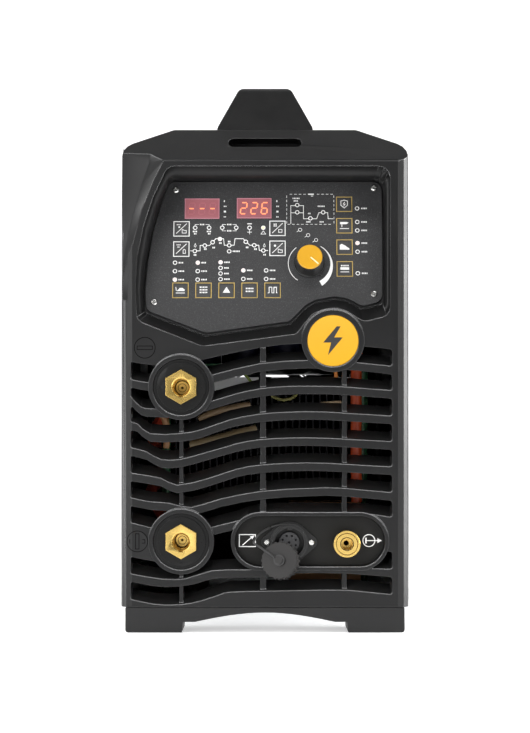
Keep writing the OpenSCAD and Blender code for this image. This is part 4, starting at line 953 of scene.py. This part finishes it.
for u, v in lamp_spots:
    raised_line(white, circle_points(u, v, 1.62, 20), 0.62, ink_low, ink_high, True)
    if v < 66 and u < 5:
        label(white, u + 3.2, v, (0.8, 1.1, 0.6, 1.0) if round(v) % 2 else (1.2, 0.7, 1.2))
    if u > 75:
        label(white, u + 3.6, v, (0.9, 0.8, 1.1, 0.8))
for start, end in ((-61.6, -49.3), (-37.7, -25.4)):
    for level in (99.9,) if start < -50 else (99.9, 94.0):
        down = 1.2 if level > 96 else -1.2
        stroke([(start, level - down), (start, level), (start + 3.2, level)], 0.4)
        stroke([(end - 3.2, level), (end, level), (end, level - down)], 0.4)
        label(white, (start + end) / 2 - 1.9, level, (1.0, 0.8, 1.1))
for u in (-61.6, -49.3):
    label(white, u - 2.0, 93.4, (1.0, 0.6, 1.2))
    label(white, u - 0.9, 91.3, (0.9, 0.7))
label(white, -15.6, 100.6, (4.0,), 0.9)
stroke([(-15.6, 92.8), (-11.6, 92.8)], 0.45)
stroke([(-13.6, 90.8), (-13.6, 94.8)], 0.45)
stroke([(-3.6, 91.0), (0.6, 91.0), (-1.5, 94.0)], 0.4, True)
for u, v_top in ((-36.4, 121.8), (10.0, 121.8)):
    for k, widths in enumerate(((0.9,), (1.0, 0.9), (1.9,), (0.8, 0.7))):
        label(white, u, v_top - 4.9 * k, widths, 1.6 if k % 2 == 0 else 1.1)
stroke([(-65.7, 75.4), (-57.1, 75.4), (-57.1, 80.4), (-48.8, 80.4), (-43.3, 86.7), (-36.5, 86.7),
        (-35.8, 80.6), (-27.2, 80.6), (-26.4, 86.7), (-19.3, 86.7), (-13.4, 80.6), (-5.5, 80.6),
        (-5.0, 75.7), (2.7, 75.7)], 0.55)
label(white, -28.4, 75.0, (0.8, 1.0, 0.8, 0.9, 1.0))
for u, v in ((-62.6, 71.6), (-53.6, 77.0), (-46.2, 78.4), (-40.4, 82.6), (-32.6, 84.0),
             (-16.8, 78.6), (-9.4, 77.0), (-1.4, 71.8)):
    label(white, u, v, (0.8, 0.9), 1.5)
for u in (-61.4, -0.6):
    stroke([(u, 82.2), (u + 0.9, 79.8), (u, 78.8), (u - 0.9, 79.8)], 0.35, True)
dash_ring = ([(u, 100.1) for u in range(21, 61, 4)] + [(60.9, v) for v in (102, 106, 110, 114, 118,
             122, 126)] + [(u, 128.3) for u in (59, 55, 51, 47, 35, 31, 27, 23)]
             + [(19.2, v) for v in (126, 122, 118, 114, 110, 106, 102)])
for u, v in dash_ring:
    flat = v in (100.1, 128.3)
    stroke([(u - 1.1, v), (u + 1.1, v)] if flat else [(u, v - 1.1), (u, v + 1.1)], 0.38)
label(white, 38.2, 128.3, (5.0,), 1.0)
stroke([(40.6, 126.6), (42.6, 126.6)], 0.5)
stroke([(22.8, 100.6), (22.8, 117.6), (34.0, 117.6), (34.0, 105.3), (45.6, 105.3), (47.6, 111.0),
        (55.4, 111.0), (55.8, 105.3), (60.2, 105.3)], 0.5)
stroke([(22.8, 110.9), (34.0, 110.9)], 0.5)
for u, v, widths in ((24.4, 124.4, (0.8, 1.0, 0.7, 1.1, 0.8)), (25.4, 122.0, (1.0, 0.8, 1.0)),
                     (46.6, 117.0, (0.9, 1.0, 0.8, 1.0, 0.7)), (36.6, 102.4, (0.9, 0.8, 1.0)),
                     (48.2, 102.4, (1.0, 0.7, 1.0)), (38.0, 110.2, (0.8, 0.9))):
    label(white, u, v, widths, 1.2)
knob_u, knob_v = 39.0, 63.7
scale_radius, scale_steps = 18.4, 26
stroke(circle_points(knob_u, knob_v, scale_radius + 0.2, scale_steps, 128, 236), 0.55)
crescent = circle_points(knob_u, knob_v, scale_radius, scale_steps, -62, 58)
for k in range(scale_steps):
    inner = [crescent[k], crescent[k + 1]]
    thick = [0.5 + 4.4 * (1 - m / scale_steps) ** 1.4 for m in (k, k + 1)]
    outer = [((p[0] - knob_u) * (1 + t / scale_radius) + knob_u,
              (p[1] - knob_v) * (1 + t / scale_radius) + knob_v) for p, t in zip(inner, thick)]
    raised_patch(white, [inner[0], outer[0], outer[1], inner[1]], ink_low, ink_high)
for u, v in ((31.0, 95.0), (38.0, 90.0), (45.0, 85.5)):
    stroke(circle_points(u, v, 1.5, 12), 0.4, True)
    stroke([(u - 3.0, v - 1.9), (u - 1.2, v - 0.8)], 0.4)
key_spots = {}
for node in body_of_node:
    if node.startswith("key_"):
        low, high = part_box(node)
        spot = panel_view_back @ ((Vector(low) + Vector(high)) / 2) * 1000
        key_spots[node] = (spot.x, spot.y)
white_framed = ("key_store", "key_gas_test", "key_parameter", "key_memory")
for node, (u, v) in key_spots.items():
    ring = [(u + sx * 6.75, v + sy * 6.75) for sx, sy in ((-1, -1), (1, -1), (1, 1), (-1, 1))]
    raised_line(white if node in white_framed else gold, ring, 0.75, ink_low, ink_high, True)
gold_ink = finish("gold_ink", (0.50, 0.36, 0.12), 0.35, metal=0.4, grain=900.0, depth=0.05,
                  tone=0.1, wear=0.0, dust=0.0)
for name, shape, made in (("panel_print_white", white, white_ink),
                          ("panel_print_gold", gold, gold_ink)):
    piece = placed(name, shape, panel_view, made)
    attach(piece, "machine")

# ---------------------------------------------------------------------------------------------
# Keys: square moulded caps that stand just proud of the film and travel 0.8 mm.
# Each is moulded in dark plastic and printed with its symbol in the same white ink as the film.
# ---------------------------------------------------------------------------------------------
key_cap = finish("key_cap", (0.035, 0.035, 0.036), 0.4, grain=1200.0, depth=0.12, wear=0.4,
                 dust=0.0)
cap_low, cap_high = 0.75, 0.9
folder = [(0.6, -4.2), (4.2, -4.2), (4.2, -1.8), (2.2, -1.8), (1.6, -1.1), (0.6, -1.1)]
for node, (u, v) in key_spots.items():
    stand_in(node, 0.0004, key_cap)
    shape = bmesh.new()

    def line(points, width=0.5, closed=False):
        raised_line(shape, [(u + x, v + y) for x, y in points], width, cap_low, cap_high, closed)

    def solid(points):
        raised_patch(shape, [(u + x, v + y) for x, y in points], cap_low, cap_high)

    def rows(*levels):
        for level in levels:
            label(shape, u - 3.3, v + level, (1.2, 0.8, 1.3, 0.7, 1.0), 1.2, cap_low, cap_high)

    if node in white_framed:
        line([(-4.6, -4.6), (4.6, 4.6)], 0.55)
    if node == "key_store":
        label(shape, u - 4.2, v + 3.6, (1.0, 0.8, 0.9), 0.8, cap_low, cap_high)
        solid(circle_points(-2.0, 1.4, 0.8, 12))
        line(folder, 0.5, True)
    elif node == "key_gas_test":
        label(shape, u - 4.2, v + 3.6, (1.0, 0.8, 0.9), 0.8, cap_low, cap_high)
        solid([(-3.6, 1.3), (-1.4, 1.3), (-1.4, 1.9), (-3.6, 1.9)])
        line([(1.6, -4.3), (3.6, -4.3), (3.6, -1.4), (3.0, -0.6), (2.2, -0.6), (1.6, -1.4)], 0.5,
             True)
    elif node == "key_parameter":
        for x in (-3.4, -1.8):
            for y in (1.4, 3.0):
                solid([(x, y), (x + 1.1, y), (x + 1.1, y + 1.1), (x, y + 1.1)])
        line([(1.0, -4.0), (4.0, -4.0), (4.0, -1.4), (1.0, -1.4)], 0.45, True)
    elif node == "key_memory":
        solid(circle_points(-2.2, 2.2, 1.0, 12))
        line(folder, 0.5, True)
    elif node == "key_program":
        solid([(-3.4, -0.9), (3.6, -0.9), (3.6, 0.5), (1.6, 1.9), (-0.6, 1.9), (-1.6, 0.6)])
        line([(-3.6, -0.6), (-4.0, 2.8)], 0.6)
        line([(-4.0, -2.7), (4.0, -2.7)], 0.6)
    elif node == "key_trigger_mode":
        solid([(-3.2, -2.4), (3.2, -2.4), (0, 3.0)])
    elif node == "key_waveform":
        rows(2.6, 0.2, -2.2)
    elif node == "key_ignition":
        rows(1.4, -1.2)
    elif node == "key_pulse":
        line([(-4.2, -2.6), (-3.0, -2.6), (-3.0, 2.6), (-0.6, 2.6), (-0.6, -2.6), (1.2, -2.6),
              (1.2, 2.6), (3.4, 2.6), (3.4, -2.6), (4.2, -2.6)], 0.55)
    elif node == "key_voltage_guard":
        line([(0, -3.8), (2.9, -1.2), (2.9, 2.8), (0, 3.6), (-2.9, 2.8), (-2.9, -1.2)], 0.6, True)
        line([(0.6, 2.0), (-0.9, -0.1), (0.8, -0.1), (-0.6, -2.2)], 0.5)
    elif node == "key_electrode":
        solid([(-3.8, 1.2), (1.8, 1.2), (3.8, 2.6), (1.8, 3.2), (-3.8, 3.2)])
        line([(-2.2, 1.0), (-2.2, -1.4)], 0.6)
        line([(-4.0, -2.9), (4.0, -2.9)], 0.6)
    elif node == "key_pedal":
        solid([(-4.2, -2.6), (4.2, -2.6), (4.2, -1.6), (0.4, 1.2), (-2.6, 2.8), (-4.2, 1.6)])
    elif node == "key_cooler":
        rows(2.8)
        solid([(-3.8, -1.0), (3.8, -1.0), (3.8, 1.2), (-3.8, 1.2)])
        line([(-3.8, -3.0), (3.8, -3.0)], 0.6)
    symbol = placed(node + "_symbol", shape, panel_view, white_ink)
    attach(symbol, node)

# ---------------------------------------------------------------------------------------------
# Control knob: a black moulded knob with a ribbed grip and a pressed-in yellow cap.
# It turns on the shaft of the rotary encoder that stands behind the film.
# ---------------------------------------------------------------------------------------------
knob_black = finish("knob_black", (0.014, 0.014, 0.014), 0.34, grain=1000.0, depth=0.08, wear=0.4)
yellow_cap = finish("yellow_cap", (0.58, 0.30, 0.014), 0.34, grain=600.0, depth=0.03, tone=0.04,
                    wear=0.2, wear_and_highlight_colour=(0.98, 0.8, 0.4), dust=0.0, specular=0.25)
stand_in("knob", 0.0004, knob_black, 3)
stand_in("knob_cap", 0.0005, yellow_cap, 3)
for node in ("encoder_body", "encoder_plunger", "encoder_shaft"):
    paint_node(node, plated_steel)

bar_ring, bar_in, bar_end, bar_keys = new_geometry_tree("grip_ribs", [
    ("Count", "NodeSocketInt", 36), ("Radius", "NodeSocketFloat", 0.011),
    ("Rib Size", "NodeSocketVector", (0.0007, 0.0007, 0.012)),
    ("Finish", "NodeSocketMaterial", None)])
bar_points = bar_ring.nodes.new("GeometryNodeMeshCircle")
bar_shape = bar_ring.nodes.new("GeometryNodeMeshCube")
bar_place = bar_ring.nodes.new("GeometryNodeInstanceOnPoints")
bar_ring.links.new(bar_in.outputs["Count"], bar_points.inputs["Vertices"])
bar_ring.links.new(bar_in.outputs["Radius"], bar_points.inputs["Radius"])
bar_ring.links.new(bar_in.outputs["Rib Size"], bar_shape.inputs["Size"])
bar_ring.links.new(bar_points.outputs[0], bar_place.inputs["Points"])
bar_ring.links.new(bar_shape.outputs[0], bar_place.inputs["Instance"])
turned_outwards(bar_ring, bar_in, bar_place)
realised(bar_ring, bar_in, bar_end, bar_place.outputs[0])
grip = new_piece("knob_grip_ribs", bpy.data.meshes.new("knob_grip_ribs"))
grow = grip.modifiers.new("ribs", "NODES")
grow.node_group = bar_ring
for title, value in (("Count", 40), ("Radius", 0.0113), ("Rib Size", (0.0008, 0.0007, 0.0128)),
                     ("Finish", knob_black)):
    grow[bar_keys[title]] = value
settle_modifier(grip, panel_view @ Matrix.Translation((knob_u / 1000, knob_v / 1000, 0.0095)))
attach(grip, "control_knob")

# The pointer is a moulded line across the cap, filled in a lighter colour.
pointer = bmesh.new()
aim = math.radians(-42)
raised_line(pointer, [(knob_u + reach * math.cos(aim), knob_v + reach * math.sin(aim))
                      for reach in (1.0, 10.0)], 1.0, 18.7, 19.0)
pointer_ink = finish("pointer_ink", (0.95, 0.80, 0.45), 0.4, wear=0.0, dust=0.0)
pointer_line = placed("knob_pointer", pointer, panel_view, pointer_ink)
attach(pointer_line, "control_knob")

# ---------------------------------------------------------------------------------------------
# Badge: a round yellow plastic disc pressed into a ring of the bezel.
# A plain lightning bolt is printed on it in dark grey.
# ---------------------------------------------------------------------------------------------
# Painted light: the badge's yellow turns lighter towards the top of the disc.
badge_yellow = finish("badge_yellow", (0.60, 0.31, 0.012), 0.34, grain=500.0, depth=0.02,
                      tone=0.03, wear=0.0, dust=0.0, specular=0.3,
                      painted_light_fade=(0.232, 0.275, (0.64, 0.34, 0.028)))
bolt_grey = finish("bolt_grey", (0.02, 0.02, 0.02), 0.4, wear=0.0, dust=0.0)
stand_in("badge", 0.0006, badge_yellow, 3)
low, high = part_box("badge")
badge_x, badge_z = (low[0] + high[0]) * 500, (low[2] + high[2]) * 500
badge_view = Matrix.Translation((0, low[1] - face_y, 0)) @ front_view
shape = bmesh.new()
bolt = [(3.2, 12.4), (-8.4, -1.6), (-1.6, -1.6), (-4.4, -12.6), (8.4, 2.8), (1.0, 2.8), (6.6, 12.4)]
raised_patch(shape, [(badge_x + x, badge_z + z) for x, z in bolt], -0.05, 0.18)
bolt_piece = placed("badge_bolt", shape, badge_view, bolt_grey)
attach(bolt_piece, "machine")

# ---------------------------------------------------------------------------------------------
# Rear fittings: the cooling fan behind its wire guard, the rotary mains switch, the cable gland
# and the gas inlet, stock parts that are screwed or nutted to the rear bezel. The case screws
# are blackened steel. Dark pads stand behind the vents and behind the sinks to keep light out
# of the case: they put shade inside it.
# ---------------------------------------------------------------------------------------------
fan_black = finish("fan_black", (0.018, 0.018, 0.02), 0.45, grain=700.0, depth=0.1, wear=0.2)
guard_wire = finish("guard_wire", (0.55, 0.55, 0.56), 0.3, metal=1.0, grain=400.0, depth=0.04,
                    wear=0.0, dust=0.15)
switch_black = finish("switch_black", (0.02, 0.02, 0.021), 0.4, grain=900.0, depth=0.1, wear=0.3)
switch_red = finish("switch_red", (0.55, 0.02, 0.015), 0.35, grain=800.0, depth=0.06, wear=0.3)
gland_nylon = finish("gland_nylon", (0.03, 0.03, 0.03), 0.45, grain=900.0, depth=0.1, wear=0.3)
stand_in("fan_frame", 0.0003, fan_black, 1)
stand_in("fan_rotor", 0, fan_black)
stand_in("fan_guard", 0, guard_wire, smooth=40.0)
stand_in("mains_switch_body", 0.0006, switch_black)
stand_in("mains_switch_handle", 0.0006, switch_red)
stand_in("cable_gland", 0.0004, gland_nylon)
stand_in("gas_inlet", 0.0003, cast_brass)
screw_steel = finish("screw_steel", (0.06, 0.06, 0.062), 0.32, metal=0.9, grain=400.0, depth=0.05,
                     wear=0.6, wear_and_highlight_colour=(0.5, 0.5, 0.5))
stand_in("case_screws", 0, screw_steel)

# Painted shade: the pads are dark sheets that keep light out of the case, so the inside stays dark.
light_stop_black = finish("light_stop_black", (0.008, 0.008, 0.008), 0.9, grain=420.0, depth=1.0, tone=0.4,
                    wear=0.0, dust=0.2, specular=0.1)


def light_stop_pad(name, low, high):
    shape = bmesh.new()
    bmesh.ops.create_cube(shape, size=1.0, matrix=Matrix.Translation((low + high) / 2)
                          @ Matrix.Diagonal((*(high - low), 1)))
    bmesh.ops.bevel(shape, geom=shape.edges[:], offset=0.0004, segments=2, affect="EDGES")
    mesh = bpy.data.meshes.new(name)
    shape.to_mesh(mesh)
    shape.free()
    pad = new_piece(name, mesh, light_stop_black)
    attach(pad, "machine")


low, high = (Vector(corner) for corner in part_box("case_cover"))
pad_thick, pad_half, pad_foot, pad_top = 0.0024, 0.036, 0.142, 0.246
for side, near in (("left", low.x + 0.0016), ("right", high.x - 0.0040)):
    for part, middle in (("front", face_y + 0.140), ("rear", face_y + 0.380)):
        light_stop_pad("vent_light_stop_" + side + "_" + part, Vector((near, middle - pad_half, pad_foot)),
                 Vector((near + pad_thick, middle + pad_half, pad_top)))
# Painted shade: a dark sheet behind the sinks stops light coming through between their fins.
sink_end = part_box("heatsink_left")[1][1]
light_stop_pad("sink_light_stop", Vector((-0.112, sink_end + 0.002, 0.104)),
         Vector((0.112, sink_end + 0.0045, 0.233)))
